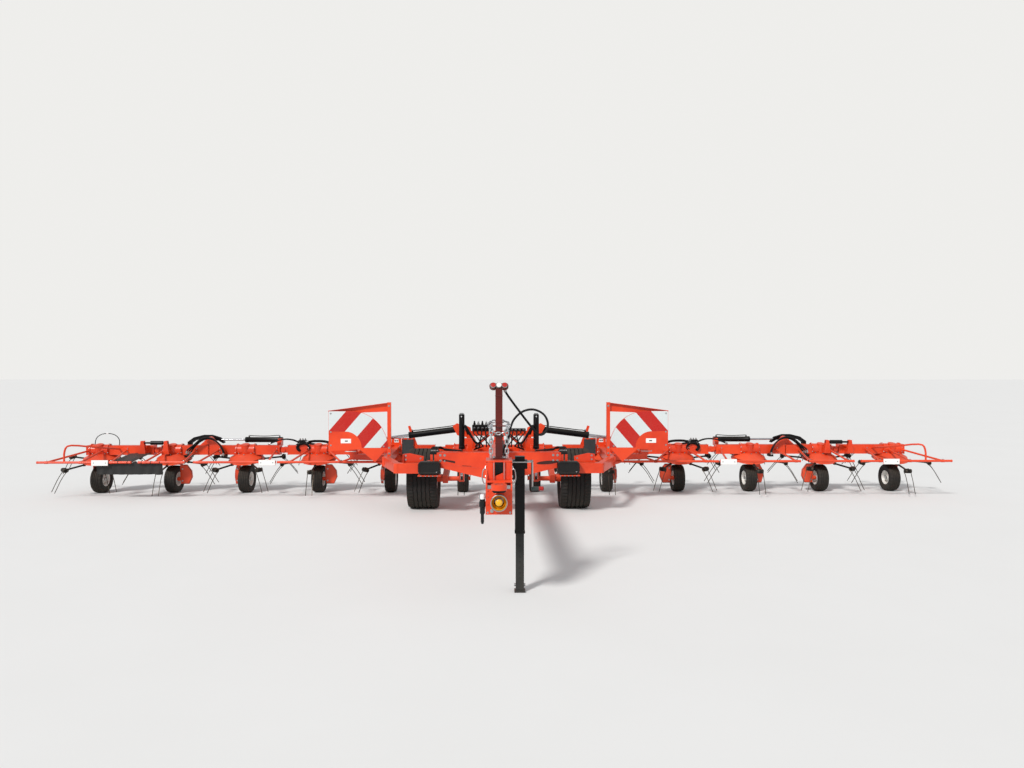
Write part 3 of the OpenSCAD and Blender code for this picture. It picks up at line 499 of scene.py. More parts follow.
def tilt_at(x, mirror=1):
    """Frame of the rotor at x, leaning to the front; mirror -1 turns its tines the other way."""
    return (Matrix.Translation((x, LINE, HUB_Z)) @ Matrix.Rotation(TILT, 4, "X")
            @ Matrix.Diagonal((1, mirror, 1, 1)))


def spring_tine(s):
    """Centre line of one wire: the coil round the arm's end, then the tine."""
    path = []
    for q in range(COIL_STEPS + 1):
        a = -math.pi * 0.5 - 2 * math.pi * COIL_TURNS * (1 - q / COIL_STEPS)
        y = s * (0.02 + 0.029 * q / COIL_STEPS)
        path.append((ARM_TIP + COIL_R * math.cos(a), y, ARM_Z + COIL_R * math.sin(a)))
    return path + [(x, s * 0.045, z) for x, z in TINE]


def rotor(i):
    """Dish, hub and arms with double spring tines."""
    at = tilt_at(rotor_x(i), -1 if i % 2 else 1)
    b = Build()
    b.lathe([(0.0285, -0.048), (0.07, -0.048), (0.072, -0.046), (0.072, 0.034), (0.07, 0.036),
             (0.0285, 0.036)], at, 32, 1)
    b.lathe([(0.068, 0.034), (0.15, 0.0145), (0.256, -0.012), (0.262, -0.016), (0.262, -0.0235),
             (0.2555, -0.0238), (0.2545, -0.018), (0.068, 0.026)], at, 56)
    for k in range(ARMS):
        arm = at @ Matrix.Rotation(math.radians(18 + 72 * k), 4, "Z")
        for x0, x1, r in ((0.055, 0.5, 0.013), (0.256, 0.268, 0.02), (0.239, 0.251, 0.02),
                          (0.49, 0.56, 0.016)):
            b.tube([arm @ Vector((x, 0, ARM_Z)) for x in (x0, x1)], r, 10, 1)
        b.tube([arm @ Vector((ARM_TIP, y, ARM_Z)) for y in (-0.047, 0.047)], 0.016, 10, 1)
        b.block((0.515, -0.024, -0.054), (0.575, 0.024, 0.0), 1, 0.004, arm)
        b.bolts([arm @ Vector((ARM_TIP, 0, 0))], arm.to_3x3() @ UP, 0.011, 0.008, 2)
        for s in (-1, 1):
            b.tube([arm @ Vector(p) for p in spring_tine(s)], 0.005, 6, 2)
    b.piece(f"rotor_dress_{i}", [red, black, spring_steel], f"rotor_{i}", "red_paint",
            replaces=[f"rotor_{i}"])


for i in range(ROTORS):
    rotor(i)


# Wheels
SMALL_R, SMALL_Y = 0.205, 0.02
ROAD_R, ROAD_X, ROAD_Y = 0.4, 1.01, -1.4


def tyre(b, at, r, w, rim_r, ribs, groove, cuts, sides=96, wave=0.0):
    """Tyre: beads, round sidewalls with a rib line, and a tread of rings cut across at the shoulders."""
    half = w / 2
    side = [(rim_r - 0.004, half * 0.72), (rim_r + 0.006, half * 0.8), (rim_r + 0.012, half * 0.82)]
    for k in range(8):
        a = k / 7
        bulge = 0.82 + 0.18 * math.sin(math.pi * min(1, a * 1.05) * 0.62 + 0.1)
        side.append((rim_r + 0.012 + (r - 0.016 - rim_r - 0.012) * a, half * bulge))
    side.append((r - 0.006, half * 0.86))
    tread, top = [], half * 0.8
    width = 2 * top / ribs
    for k in range(ribs):
        z0, z1 = top - k * width, top - (k + 1) * width
        crown0, crown1 = [r - 0.004 * abs(z / top) ** 2.5 for z in (z0, z1)]
        inner = k < ribs - 1
        tread += [(crown0, z0 - (0.14 * width if k else 0)), (crown1, z1 + (0.14 * width if inner else 0))]
        if inner:
            tread += [(r - groove, z1 + 0.08 * width), (r - groove, z1 - 0.08 * width)]
    profile = [*side, *tread, *[(a, -z) for a, z in reversed(side)]]
    verts = []
    for k, a in enumerate(angles(sides)):
        for rr, z in profile:
            if rr > r - 0.0075 and abs(z) > top * 0.62 and k % cuts == 0:
                rr -= groove * 0.75
            dz = wave * math.sin(a * sides / 8) if rr > r - groove - 0.001 and abs(z) < top * 0.95 else 0
            verts.append(at @ Vector((rr * math.cos(a), rr * math.sin(a), z + dz)))
    b.add(verts, net(sides, len(profile), turn=True, ring=False))


def face_side(i):
    """Side to which small wheel i shows its open face: the two of each wing part look at each other."""
    end, n = (-1, 5 - i) if i < 6 else (1, i - 6)
    return -end if n % 2 else end


def small_wheel(i):
    """Tyre, rim, bolts, hub cap and valve of a small wheel."""
    at = facing((rotor_x(i), LINE + SMALL_Y, SMALL_R), face_side(i))
    b = Build()
    tyre(b, at, SMALL_R, w=0.165, rim_r=0.104, ribs=5, groove=0.007, cuts=4)
    b.lathe([(0.104, 0.061), (0.108, 0.066), (0.106, 0.069), (0.098, 0.066), (0.093, 0.058), (0.09, 0.02),
             (0.086, 0.006), (0.06, 0.002), (0.04, 0.01), (0.036, 0.012), (0.036, 0.044), (0.033, 0.046),
             (0.0145, 0.046), (0.0145, -0.045), (0.034, -0.045), (0.036, -0.043), (0.036, -0.012),
             (0.06, -0.006), (0.086, -0.004), (0.09, -0.02), (0.093, -0.058), (0.098, -0.066),
             (0.106, -0.069), (0.108, -0.066), (0.104, -0.061), (0.097, -0.058), (0.094, -0.02),
             (0.094, 0.02), (0.097, 0.058)], at, 48, 1)
    b.bolt_ring(at, 0.062, 0.0028, 5, 0.008, 0.007, 2)
    b.lathe([(0.025, 0.047), (0.029, 0.047), (0.0285, 0.06), (0.022, 0.0665), (0.0005, 0.0675),
             (0.0005, 0.061), (0.025, 0.061)], at, 24, 2)
    b.tube([at @ Vector(p) for p in ((0.084, 0, 0.01), (0.08, 0, 0.024), (0.074, 0, 0.034))], 0.0035, 8, 3)
    b.piece(f"wheel_dress_{i}", [tyre_rubber, rim_paint, zinc, black_plastic], f"wheel_{i}", "tyre",
            replaces=[f"wheel_{i}"])


for i in range(ROTORS):
    small_wheel(i)


def road_wheel(e, s):
    """Tyre, rim, hub cap and bolts of a transport wheel."""
    b = Build(s, LINE)
    at = facing(b.at((ROAD_X, ROAD_Y, ROAD_R)), s)
    tyre(b, at, ROAD_R, w=0.4, rim_r=0.2, ribs=6, groove=0.013, cuts=3, sides=150, wave=0.0028)
    b.lathe([(0.198, 0.15), (0.207, 0.16), (0.203, 0.166), (0.192, 0.16), (0.186, 0.146), (0.182, 0.04),
             (0.172, 0.018), (0.12, 0.012), (0.096, 0.024), (0.09, 0.026), (0.0305, 0.026),
             (0.0305, -0.055), (0.072, -0.055), (0.076, -0.02), (0.12, -0.002), (0.172, 0.002),
             (0.182, -0.01),
             (0.186, -0.146), (0.192, -0.16), (0.203, -0.166), (0.207, -0.16), (0.198, -0.15),
             (0.19, -0.14), (0.187, 0.0), (0.19, 0.14)], at, 64, 1)
    b.lathe([(0.0305, 0.026), (0.066, 0.026), (0.066, 0.05), (0.058, 0.058), (0.0305, 0.059)], at, 32, 2)
    b.bolt_ring(at, 0.096, 0.0235, 6, 0.013, 0.014, 2)
    b.piece(f"road_wheel_dress_{e}", [tyre_rubber, rim_paint, zinc], f"road_wheel_{e}", "tyre",
            replaces=[f"road_wheel_{e}"])


# Warning panels
PANEL_Y = -1.1


def clip_band(poly, axis, lo, hi):
    """Keeps the part of a convex or concave outline with lo <= axis . p <= hi."""
    for sign, limit in ((1, lo), (-1, -hi)):
        out = []
        for k in range(len(poly)):
            p, q = poly[k], poly[(k + 1) % len(poly)]
            dp = sign * (axis[0] * p[0] + axis[1] * p[1]) - limit
            dq = sign * (axis[0] * q[0] + axis[1] * q[1]) - limit
            if dp >= 0:
                out.append(p)
            if (dp >= 0) != (dq >= 0):
                t = dp / (dp - dq)
                out.append((p[0] + t * (q[0] - p[0]), p[1] + t * (q[1] - p[1])))
        poly = out
        if len(poly) < 3:
            return []
    return poly


def panel_stripes(e, s):
    """The arc band in short convex pieces, each cut by the slanting stripes."""
    b = Build(s, LINE)
    foot, r, in_r = 0.78, 0.51, 0.226
    outer = [(2.357, foot + r - 0.003)] + arc(2.05, foot, r - 0.004, 90, 18)
    inner = [(2.357, foot + in_r + 0.004)] + arc(2.13, foot, in_r, 90, 18)
    slant, width = (0.755, 0.656), 0.173
    start = 2.445 - 5 * width
    y = PANEL_Y - 0.0006
    for k in range(len(outer) - 1):
        quad = [outer[k], outer[k + 1], inner[k + 1], inner[k]]
        for q in range(-1, 12):
            cut = clip_band(quad, slant, start + q * width, start + (q + 1) * width)
            if len(cut) >= 3:
                b.prism(cut, y, y - 0.0009, 1 - q % 2)
    b.piece(f"panel_stripes_{e}", [foil_white, foil_red], f"wing_1_{e}", "panel_paint", 60)


def panel_trim(e, s):
    """Blank plate, bolts, and a handle on the lower edge."""
    b = Build(s, LINE)
    y = PANEL_Y - 0.0006
    b.block((2.05, y - 0.002, 0.844), (2.192, y, 0.906), 0, 0.0006)
    b.block((2.095, y - 0.0026, 0.866), (2.135, y - 0.001, 0.882), 2, 0.0004)
    b.front_bolts(y, ((2.33, 0.815), (2.33, 1.0), (2.33, 1.255), (1.6, 0.8)), 0.009, 0.006)
    b.front_bolts(PANEL_Y + 0.004, ((1.525, 0.7), (1.525, 0.78), (1.525, 1.36)), 0.011, 0.008)
    b.curve([(1.985, y + 0.002, 0.735), (1.985, y - 0.028, 0.733), (2.06, y - 0.034, 0.732),
             (2.125, y - 0.028, 0.733), (2.125, y + 0.002, 0.735)], 4, 0.005, 8, 1)
    b.piece(f"panel_trim_{e}", [plate_white, zinc, label_dark], f"wing_1_{e}", "panel_paint")


# Reflectors, rail clamps and beam trim, by wing part: struts as (beam x, rail x), gearboxes, beam ends
STRUTS = {1: ((1.9, 2.25), (2.6, 2.25), (2.89, 2.98)), 2: ((3.39, 3.29), (4.25, 4.28)),
          3: ((4.6, 4.48), (5.06, 5.04)), 4: ((5.64, 5.5), (5.99, 5.93), (6.18, 6.41))}
GEARS = {1: (1.65, 2.75), 2: (3.85,), 3: (4.95,), 4: (6.05,)}
BEAMS = {1: (0.98, 3.208), 2: (3.332, 4.392), 3: (4.408, 5.108), 4: (5.232, 6.24)}
REFLECTORS = {2: 3.2955, 4: 5.65}


def gear_trim(b, x, mat):
    """Bolt ring on the flanges, plug and grease nipple on a rotor gearbox."""
    for end in (-1, 1):
        b.bolt_ring(facing((x + end * 0.13, LINE, BEAM_Z), end), 0.0885, 0.0078, 8, 0.007, 0.007, mat, 0.5)
    b.bolt_ring(tilt_at(x), 0.106, 0.0925, 6, 0.008, 0.007, mat, 0.5, BEAM_W / 2 + 0.002)
    b.lathe([(0.0005, 0.0), (0.02, 0.0), (0.02, 0.006), (0.016, 0.01), (0.0005, 0.011)],
            facing((x + 0.03, LINE, BEAM_Z + 0.0835), "up"), 6, mat)


def wing_trim(e, s):
    """Clamps and feet of the struts, gearbox trim, and weld beads round the beam's ends."""
    front, plate = -BEAM_W / 2, 0.0065
    w, h = BEAM_W / 2 + 0.002, BEAM_H / 2 + 0.002
    corners = ((-w, -h), (w, -h), (w, h), (-w, h), (-w, -h))
    for k, struts in STRUTS.items():
        b = Build(s, LINE)
        for foot, x in struts:
            b.tube([(x - 0.022, RAIL_Y, RAIL_Z), (x + 0.022, RAIL_Y, RAIL_Z)], RAIL_R + 0.004, 14)
            b.bolts([(x, RAIL_Y, RAIL_Z + RAIL_R + 0.003)], UP, 0.009, 0.008)
            b.block((foot - 0.03, front - plate, BEAM_Z - 0.032),
                    (foot + 0.03, front + 0.0005, BEAM_Z + 0.032), 0, 0.002)
            b.front_bolts(front - plate, [(foot + s * 0.02, BEAM_Z + dz) for dz in (-0.022, 0.022)],
                          0.006, 0.005)
        for g in GEARS[k]:
            gear_trim(b, s * g, 1)
        for x in BEAMS[k]:
            b.tube([(x, y, BEAM_Z + z) for y, z in corners], 0.003, 6)
        b.piece(f"wing_trim_{k}_{e}", [red, zinc], f"wing_{k}_{e}", "red_paint")


def reflectors(e, s):
    """White plates on the guard rail, each with two screws."""
    y = RAIL_Y - RAIL_R - 0.006
    for k, x in REFLECTORS.items():
        b = Build(s, LINE)
        b.block((x - 0.1165, y - 0.004, RAIL_Z - 0.044), (x + 0.1165, y, RAIL_Z + 0.034), 0, 0.003)
        b.front_bolts(y - 0.004, [(x + dx, RAIL_Z - 0.005) for dx in (-0.085, 0.085)], 0.006, 0.003)
        b.piece(f"reflector_{k}_{e}", [plate_white, zinc], f"wing_{k}_{e}", "red_paint")


def centre_gear_trim():
    """The same trim on the two middle gearboxes."""
    b = Build()
    for x in (-0.55, 0.55):
        gear_trim(b, x, 1)
    b.piece("centre_gear_trim", [red, zinc], "chassis", "red_paint")


both_ends(road_wheel)
both_ends(panel_stripes, panel_trim)
both_ends(wing_trim, reflectors)
centre_gear_trim()

# Consoles beside the small wheels: the part that carries each rotor, and the width of the sheet there.
# The rotors without a width have no sheet that shows.
CARRIERS = ["wing_4_l", "wing_3_l", "wing_2_l", "wing_1_l", "wing_1_l", "chassis",
            "chassis", "wing_1_r", "wing_1_r", "wing_2_r", "wing_3_r", "wing_4_r"]
CONSOLES = {1: 0.165, 2: 0.06, 3: 0.165, 4: 0.05, 7: 0.05, 8: 0.165, 9: 0.11, 10: 0.165}


def console(i, wide):
    """Bent sheet on the wheel's bracket: a front face beside the tyre and a fold along its side."""
    near, deep = 0.113, 0.042
    y = SMALL_Y - 0.036
    b = Build(-face_side(i), LINE, rotor_x(i))
    edge = [(near, 0.424), (near + wide * 0.5, 0.424), (near + wide * 0.94, 0.33), (near + wide, 0.235),
            (near + wide * 0.72, 0.132), (near, 0.132)]
    b.prism(edge, y, y + 0.005)
    mid_x, mid_z = near + wide * 0.45, 0.29
    for (ax, az), (cx, cz) in zip(edge, edge[1:]):
        strip = [(ax, y, az), (cx, y, cz), (cx, y + deep, cz), (ax, y + deep, az)]
        strip += [(px + (mid_x - px) * 0.045, py, pz + (mid_z - pz) * 0.035) for px, py, pz in strip]
        b.add([b.at(p) for p in strip],
              [(0, 1, 2, 3), (7, 6, 5, 4), (0, 4, 5, 1), (1, 5, 6, 2), (2, 6, 7, 3), (3, 7, 4, 0)])
    b.front_bolts(y, ((near + 0.022, 0.18), (near + 0.022, 0.36)), 0.009, 0.007)
    b.piece(f"console_{i}", [red, zinc], CARRIERS[i], "red_paint")


for i, wide in CONSOLES.items():
    console(i, wide)


# Cylinders
def fold_cylinder(e, s):
    """Black sleeve, end caps and ports over the fold cylinder's barrel, and a pipe between the ports."""
    b = Build(s, LINE)
    x, y, z = 3.345, 0.16, 0.79
    b.lathe([(0.0165, -0.003), (0.036, -0.003), (0.0415, 0.002), (0.0415, 0.03), (0.0405, 0.034),
             (0.0405, 0.53), (0.0435, 0.534), (0.0435, 0.566), (0.04, 0.57), (0.0165, 0.57)],
            facing(b.at((x, y, z)), s), 36)
    for port in (x + 0.045, x + 0.515):
        b.tube([(port, y, z + 0.039), (port, y, z + 0.058)], 0.011, 10)
        b.tube([(port, y, z + 0.055), (port, y, z + 0.066)], 0.013, 6, 1)
    b.curve([(3.39, y, z + 0.062), (3.42, y + 0.01, z + 0.066), (3.6, y + 0.012, z + 0.055),
             (3.8, y + 0.01, z + 0.06), (3.86, y, z + 0.064)], 5, 0.006)
    b.piece(f"fold_cylinder_{e}", [black, zinc], f"wing_2_{e}", "black_paint")


def lift_trim(e, s):
    """Collars, gland nut and pipe on the lift cylinder, and a wiper at the rod."""
    foot, tip, y = (0.5, 1.02), (2.1, 0.82), LINE - 0.7
    run = Vector((s * (tip[0] - foot[0]), 0, tip[1] - foot[1])).normalized()
    at = Matrix.Translation((s * foot[0], y, foot[1])) @ run.to_track_quat("Z", "Y").to_matrix().to_4x4()
    b = Build()
    b.lathe([(0.0445, 0.058), (0.047, 0.06), (0.047, 0.08), (0.0445, 0.084)], at, 32)
    b.lathe([(0.0225, 0.8035), (0.04, 0.8035), (0.043, 0.801), (0.043, 0.799), (0.0225, 0.799)], at, 8)
    up = at.to_3x3().inverted() @ UP
    up.z = 0
    up.normalize()

    def above(h, x):
        return at @ (up * h + Vector((0, 0, x)))

    for x in (0.095, 0.745):
        b.tube([above(0.042, x), above(0.064, x)], 0.012, 10)
        b.tube([above(0.062, x), above(0.076, x)], 0.014, 6, 1)
    b.tube([above(0.058 + h, x) for h, x in ((0.0, 0.745), (0.004, 0.7), (0.0, 0.66), (0.0, 0.2),
                                             (0.004, 0.14), (0.004, 0.1))], 0.0065)
    b.piece(f"lift_trim_{e}", [black, zinc], f"lift_barrel_{e}", "black_paint")


# Front hinge covers, flaps and lugs
def front_cover(e, s):
    """Rounded black cover on the front hinge, with a sunk face, and the block with hoses on the lugs."""
    b = Build(s, LINE)
    x0, x1, y0, y1, z0, z1 = 0.737, 1.02, -2.132, -2.022, 0.535, 0.7
    mid_x, mid_z, corner, steps = (x0 + x1) / 2, (z0 + z1) / 2, 0.045, 6
    outline = []
    for x, z, first in ((x1 - corner, z1 - corner, 0), (x0 + corner, z1 - corner, 90),
                        (x0 + corner, z0 + corner, 180), (x1 - corner, z0 + corner, 270)):
        outline += arc(x, z, corner, first, steps)
    rings = ((1, 1, y1), (1, 1, y0 + 0.012), (0.95, 0.92, y0), (0.84, 0.74, y0), (0.78, 0.62, y0 + 0.01),
             (0.74, 0.52, y0 + 0.011))
    verts = [b.at((mid_x + (x - mid_x) * wide, y, mid_z + (z - mid_z) * high))
             for wide, high, y in rings for x, z in outline]
    n = len(outline)
    b.add(verts, net(len(rings), n) + [tuple(range(n)), tuple(range(len(verts) - n, len(verts)))])
    b.block((x0 - 0.004, y0 + 0.006, 0.514), (x1 + 0.004, -2.004, 0.527), 3, 0.002)
    b.block((x0 + 0.02, -2.09, 0.527), (x1 - 0.02, -2.066, 0.556), 3, 0.002)
    b.front_bolts(y0 + 0.006, [(x, 0.5205) for x in (x0 + 0.04, x0 + 0.095, mid_x, x1 - 0.095, x1 - 0.04)],
                  0.0085, 0.008, washer=False)
    b.block((0.772, -2.004, 0.779), (0.868, -1.945, 0.822), 0, 0.008)
    for k in range(5):
        x = 0.782 + 0.019 * k
        b.tube([(x, -1.978, 0.82), (x, -1.978, 0.836)], 0.0095, 6, 1)
        b.curve([(x, -1.978, 0.832), (x, -1.972, 0.856), (x - 0.02, -1.935, 0.868), (x - 0.06, -1.9, 0.852),
                 (0.7 - 0.035 * k, -1.89, 0.825), (0.6 - 0.03 * k, -1.9, 0.818)], 6, 0.0085, 8, 2)
    b.piece(f"front_cover_{e}", [black_plastic, zinc, hose_rubber, red], "chassis", "black_paint")


def arm_plate(e, s):
    """Leaning plate of the wing over the transport tyre, and its gusset on the arm."""
    b = Build(s, LINE)
    b.prism([(1.238, 0.655), (1.232, 0.772), (1.15, 0.782), (0.968, 0.742), (0.975, 0.668)], -1.868, -1.86)
    b.prism([(1.236, 0.666), (1.236, 0.77), (1.226, 0.77), (1.226, 0.666)], -1.904, -1.86)
    b.front_bolts(-1.868, ((1.2, 0.75), (1.2, 0.7), (1.01, 0.715)), 0.009, 0.007)
    b.piece(f"arm_plate_{e}", [red, zinc], f"wing_1_{e}", "red_paint")


def flap(e, s):
    """Rubber flap between the hinge and the first gearbox, on a steel strip."""
    b = Build(s, LINE)
    y, x0, x1 = -0.094, 1.29, 1.478
    xs = [1.295 + 0.022 * k for k in range(9)]
    zs = [0.575 + 0.026 * k for k in range(11)]
    verts = []
    for dy in (0.0, -0.006):
        for z in zs:
            for x in xs:
                bow = 0.014 * ((z - 0.835) / 0.26) ** 2 + 0.004 * math.sin((x - 1.295) * 30)
                pull = 0.012 if (z in (zs[0], zs[-1]) and x in (xs[0], xs[-1])) else 0
                verts.append(b.at((x + (pull if x < 1.35 else -pull), y - bow + dy, z)))
    b.add(verts, sheet_faces(len(zs), len(xs)))
    b.block((x0, y - 0.012, 0.812), (x1, y + 0.034, 0.83), 1, 0.001)
    for x in (x0, x1 - 0.03):
        b.block((x, y + 0.004, 0.7), (x + 0.03, y + 0.034, 0.83), 1, 0.001)
    b.front_bolts(y - 0.012, [(1.32 + 0.064 * k, 0.821) for k in range(3)], 0.007, 0.005, 2)
    b.piece(f"flap_{e}", [flap_rubber, red, zinc], f"wing_1_{e}", "hose_rubber")


def wing_1_detail(e, s):
    """Bolts on the plate with the window and the hoses through it, link plates and a coil of hose."""
    b = Build(s, LINE)
    b.front_bolts(-0.072, ((1.505, 0.71), (1.615, 0.71), (1.505, 0.825), (1.612, 0.825), (1.545, 0.79),
                           (1.575, 0.79)), 0.01, 0.008, 0)
    for k in range(2):
        y = -0.01 + 0.02 * k
        b.curve([(1.66, y - 0.02, 0.745), (1.9, y, 0.757), (2.2, y, 0.747), (2.38, y, 0.748),
                 (2.46, y, 0.733), (2.475, y, 0.712)], 6, 0.009, 8, 1)
    top = [(2.6, 0.722), (2.7, 0.731), (2.8, 0.74), (2.885, 0.752), (2.93, 0.772), (3.0, 0.778),
           (3.06, 0.762), (3.078, 0.722)]
    low = [(3.046, 0.722), (3.03, 0.744), (2.98, 0.754), (2.93, 0.75), (2.87, 0.734), (2.78, 0.727),
           (2.7, 0.7235), (2.66, 0.722)]
    for y in (-0.045, 0.045):
        b.prism(top + low, y - 0.004, y + 0.004, 2)
    links = ((2.78, 0.732), (2.925, 0.757), (3.04, 0.744))
    for x, z in links:
        b.tube([(x, -0.056, z), (x, 0.056, z)], 0.006, 12)
    b.front_bolts(-0.056, links, 0.008, 0.006, 0)
    for k in range(3):
        r = 0.05 + 0.009 * k
        turn = [math.radians(-40 + 260 * q / 20) for q in range(21)]
        coil = [(2.965 + 1.5 * r * math.cos(a), -0.076 - 0.01 * k, 0.69 + r * math.sin(a)) for a in turn]
        first, last = coil[0], coil[-1]
        b.curve([(first[0] - 0.008, -0.052, first[2] - 0.02), *coil,
                 (last[0] + 0.008, -0.052, last[2] - 0.02)], 2, 0.008, 8, 1)
    b.piece(f"wing_1_detail_{e}", [zinc, hose_rubber, black], f"wing_1_{e}", "black_paint")


both_ends(fold_cylinder, lift_trim)
both_ends(front_cover, arm_plate, flap, wing_1_detail)


# Nose, guard, jack and mast
def guard_liner():
    """Bright mouth and yellow liner of the drive shaft's guard."""
    b = Build(y=EYE_Y)
    at = facing(b.at((0, 0.01, SHAFT_Z)), "back")
    b.lathe([(0.057, -0.0005), (0.057, 0.004), (0.0625, 0.006), (0.0648, 0.002), (0.0648, -0.003),
             (0.063, -0.004), (0.06, -0.004)], at, 40)
    b.lathe([(0.0562, 0.01), (0.0562, 0.067), (0.054, 0.067), (0.04, 0.05), (0.0385, 0.05),
             (0.04, 0.047), (0.0545, 0.062), (0.0545, 0.01)], at, 40, 1)
    b.piece("guard_liner", [zinc, yellow], "chassis", "rod_chrome")


def shaft_cap():
    """Splines and yellow cap of the drive shaft's end."""
    b = Build(y=EYE_Y)
    for a in angles(6):
        x, z = 0.0175 * math.cos(a), SHAFT_Z + 0.0175 * math.sin(a)
        b.tube([(x, 0.0205, z), (x, 0.06, z)], 0.003, 6)
    b.lathe([(0.0005, 0.0), (0.016, 0.0), (0.02, 0.003), (0.0262, 0.006), (0.0275, 0.012),
             (0.0275, 0.034), (0.0212, 0.038), (0.0212, 0.01), (0.0005, 0.008)], (0, 0.0195, SHAFT_Z), 24, 1,
            way="back")
    b.piece("shaft_cap", [zinc, yellow], "pto_shaft", "rod_chrome")


def nose_side(b, s):
    """Bolts, loop, window plate, weld beads and a painted highlight on the post's edge, on one side of the
    nose.
    """
    b.side = s
    front = 0.078
    for k, z in enumerate((0.738, 0.8, 0.86, 0.904)):
        b.front_bolts(front, ((0.086, z),), 0.0062, 0.005, 0 if k else 1)
    x = 0.102
    b.bolts([(x, y, z) for y, z in ((0.17, 0.8), (0.26, 0.93), (0.3, 1.06), (0.2, 1.06), (0.34, 0.98))],
            (1, 0, 0), 0.011, 0.009)
    b.curve([(x, 0.165, 1.062), (x + 0.018, 0.16, 1.056), (x + 0.026, 0.155, 1.02),
             (x + 0.026, 0.152, 0.985), (x + 0.016, 0.15, 0.955), (x, 0.15, 0.95)], 5, 0.005, 8, 1)
    b.block((0.048, 0.15, 0.98), (0.0895, 0.156, 1.115), 0, 0.001)
    # thin zinc strip down the post's edge beside the window: a painted highlight, not a part
    b.block((0.0375, 0.1325, 0.982), (0.0425, 0.1355, 1.112), 1, 0.0008)
    b.block((0.03, 0.191, 1.1), (0.09, 0.197, 1.1165), 3, 0.001)
    b.tube([(0.0875, 0.104, 0.74), (0.0875, 0.104, 0.905)], 0.003, 6)
    b.tube([(0.041, 0.062, 0.9665), (0.041, 0.148, 0.9665)], 0.003, 6)
    b.side = 1


def nose_detail():
    """What shows on the nose plates, the drawbar's eye and the window under the mast."""
    b = Build(y=EYE_Y)
    for s in (-1, 1):
        nose_side(b, s)
    b.lathe([(0.0005, 0.0), (0.014, 0.0), (0.014, 0.01), (0.01, 0.014), (0.0005, 0.014)],
            (-0.055, 0.078, 0.752), 18, 1, way="front")
    # worn rim of the eye, above and below
    for up in (-1, 1):
        b.lathe([(0.025, 0.0215 * up), (0.0262, 0.0225 * up), (0.033, 0.0228 * up), (0.033, 0.0215 * up)],
                (0, 0, 0.945), 32, 1)
    # ribs and plates in the window
    for k in range(5):
        z = 1.02 + 0.014 * k
        b.block((-0.03, 0.185, z), (0.03, 0.191, z + 0.006), 3, 0.001)
    b.prism([(-0.032, 0.98), (0.032, 0.98), (0.032, 1.034), (-0.032, 1.006)], 0.152, 0.158)
    b.prism([(-0.055, 0.902), (-0.04, 0.888), (0.04, 0.888), (0.055, 0.902), (0.04, 0.912),
             (-0.04, 0.912)], 0.0762, 0.0785, 3)
    b.block((-0.036, 0.191, 0.975), (0.036, 0.197, 1.112), 3, 0.001)
    b.piece("nose_detail", [red, zinc, rim_paint, black_plastic], "chassis", "red_paint")


def plug_holder():
    """Lighting plug in its holder, on the left side of the nose."""
    b = Build(y=EYE_Y)
    at = (-0.127, 0.09, -0.006)
    b.block((-0.152, 0.104, 0.842), (-0.1015, 0.112, 0.872), 0, 0.002)
    b.lathe([(0.0005, 0.882), (0.014, 0.882), (0.018, 0.876), (0.018, 0.846), (0.0005, 0.846)], at, 20, 1)
    b.lathe([(0.0005, 0.846), (0.021, 0.846), (0.021, 0.83), (0.026, 0.826), (0.026, 0.79), (0.02, 0.784),
             (0.02, 0.74), (0.016, 0.732), (0.0005, 0.732)], at, 20, 2)
    b.lathe([(0.0005, 0.734), (0.013, 0.734), (0.013, 0.672), (0.008, 0.655), (0.0005, 0.655)], at, 14, 2)
    b.block((-0.136, 0.086, 0.844), (-0.118, 0.106, 0.864), 0, 0.002)
    b.piece("plug_holder", [zinc, white_plastic, black_plastic], "chassis", "black_paint")


# Jack, from the middle of its leg
JACK_X, JACK_Y = 0.172, LINE - 5.45
CRANK_Z, CRANK_R = 1.077, 0.0097


def jack_detail():
    """Plain steel crank with a two-part grip over the black bar, ribs and bolts of the head, and the seal."""
    b = Build(1, JACK_Y, JACK_X)
    b.tube([(0.06, 0, CRANK_Z), (0.102, 0, CRANK_Z)], CRANK_R, 12)
    b.curve([(0.098, 0, CRANK_Z), (0.102, 0, 1.07), (0.102, 0, 0.86), (0.106, 0, 0.852)], 4, CRANK_R, 12)
    b.tube([(-0.08, 0, CRANK_Z), (-0.058, 0, CRANK_Z)], CRANK_R, 12)
    at = facing(b.at((0.095, 0, 0.852)), 1)
    b.lathe([(0.015, 0.0), (0.0175, 0.001), (0.0185, 0.01), (0.017, 0.03), (0.0172, 0.06),
             (0.0165, 0.062)], at, 20, 1, close=False)
    b.lathe([(0.0165, 0.062), (0.0172, 0.062), (0.0175, 0.08), (0.017, 0.099), (0.013, 0.103),
             (0.0005, 0.104)], at, 20, 2, close=False)
    b.tube([(-0.064, -0.0585, CRANK_Z), (0.064, -0.0585, CRANK_Z), (0.086, -0.05, CRANK_Z),
            (0.098, -0.02, CRANK_Z), (0.101, 0, 1.075)], 0.0055)
    for z in (1.03, 1.05, 1.07):
        b.block((-0.0615, -0.0535, z), (0.0615, 0.0535, z + 0.006), 3, 0.001)
    b.front_bolts(-0.0405, [(x, z) for x in (-0.0225, 0.0225) for z in (0.885, 0.95)], 0.009, 0.007, 3)
    b.block((-0.0425, -0.0425, 0.4865), (0.0425, 0.0425, 0.505), 3, 0.002)
    b.piece("jack_detail", [zinc, grip_grey, grip_red, black], "chassis", "black_paint")


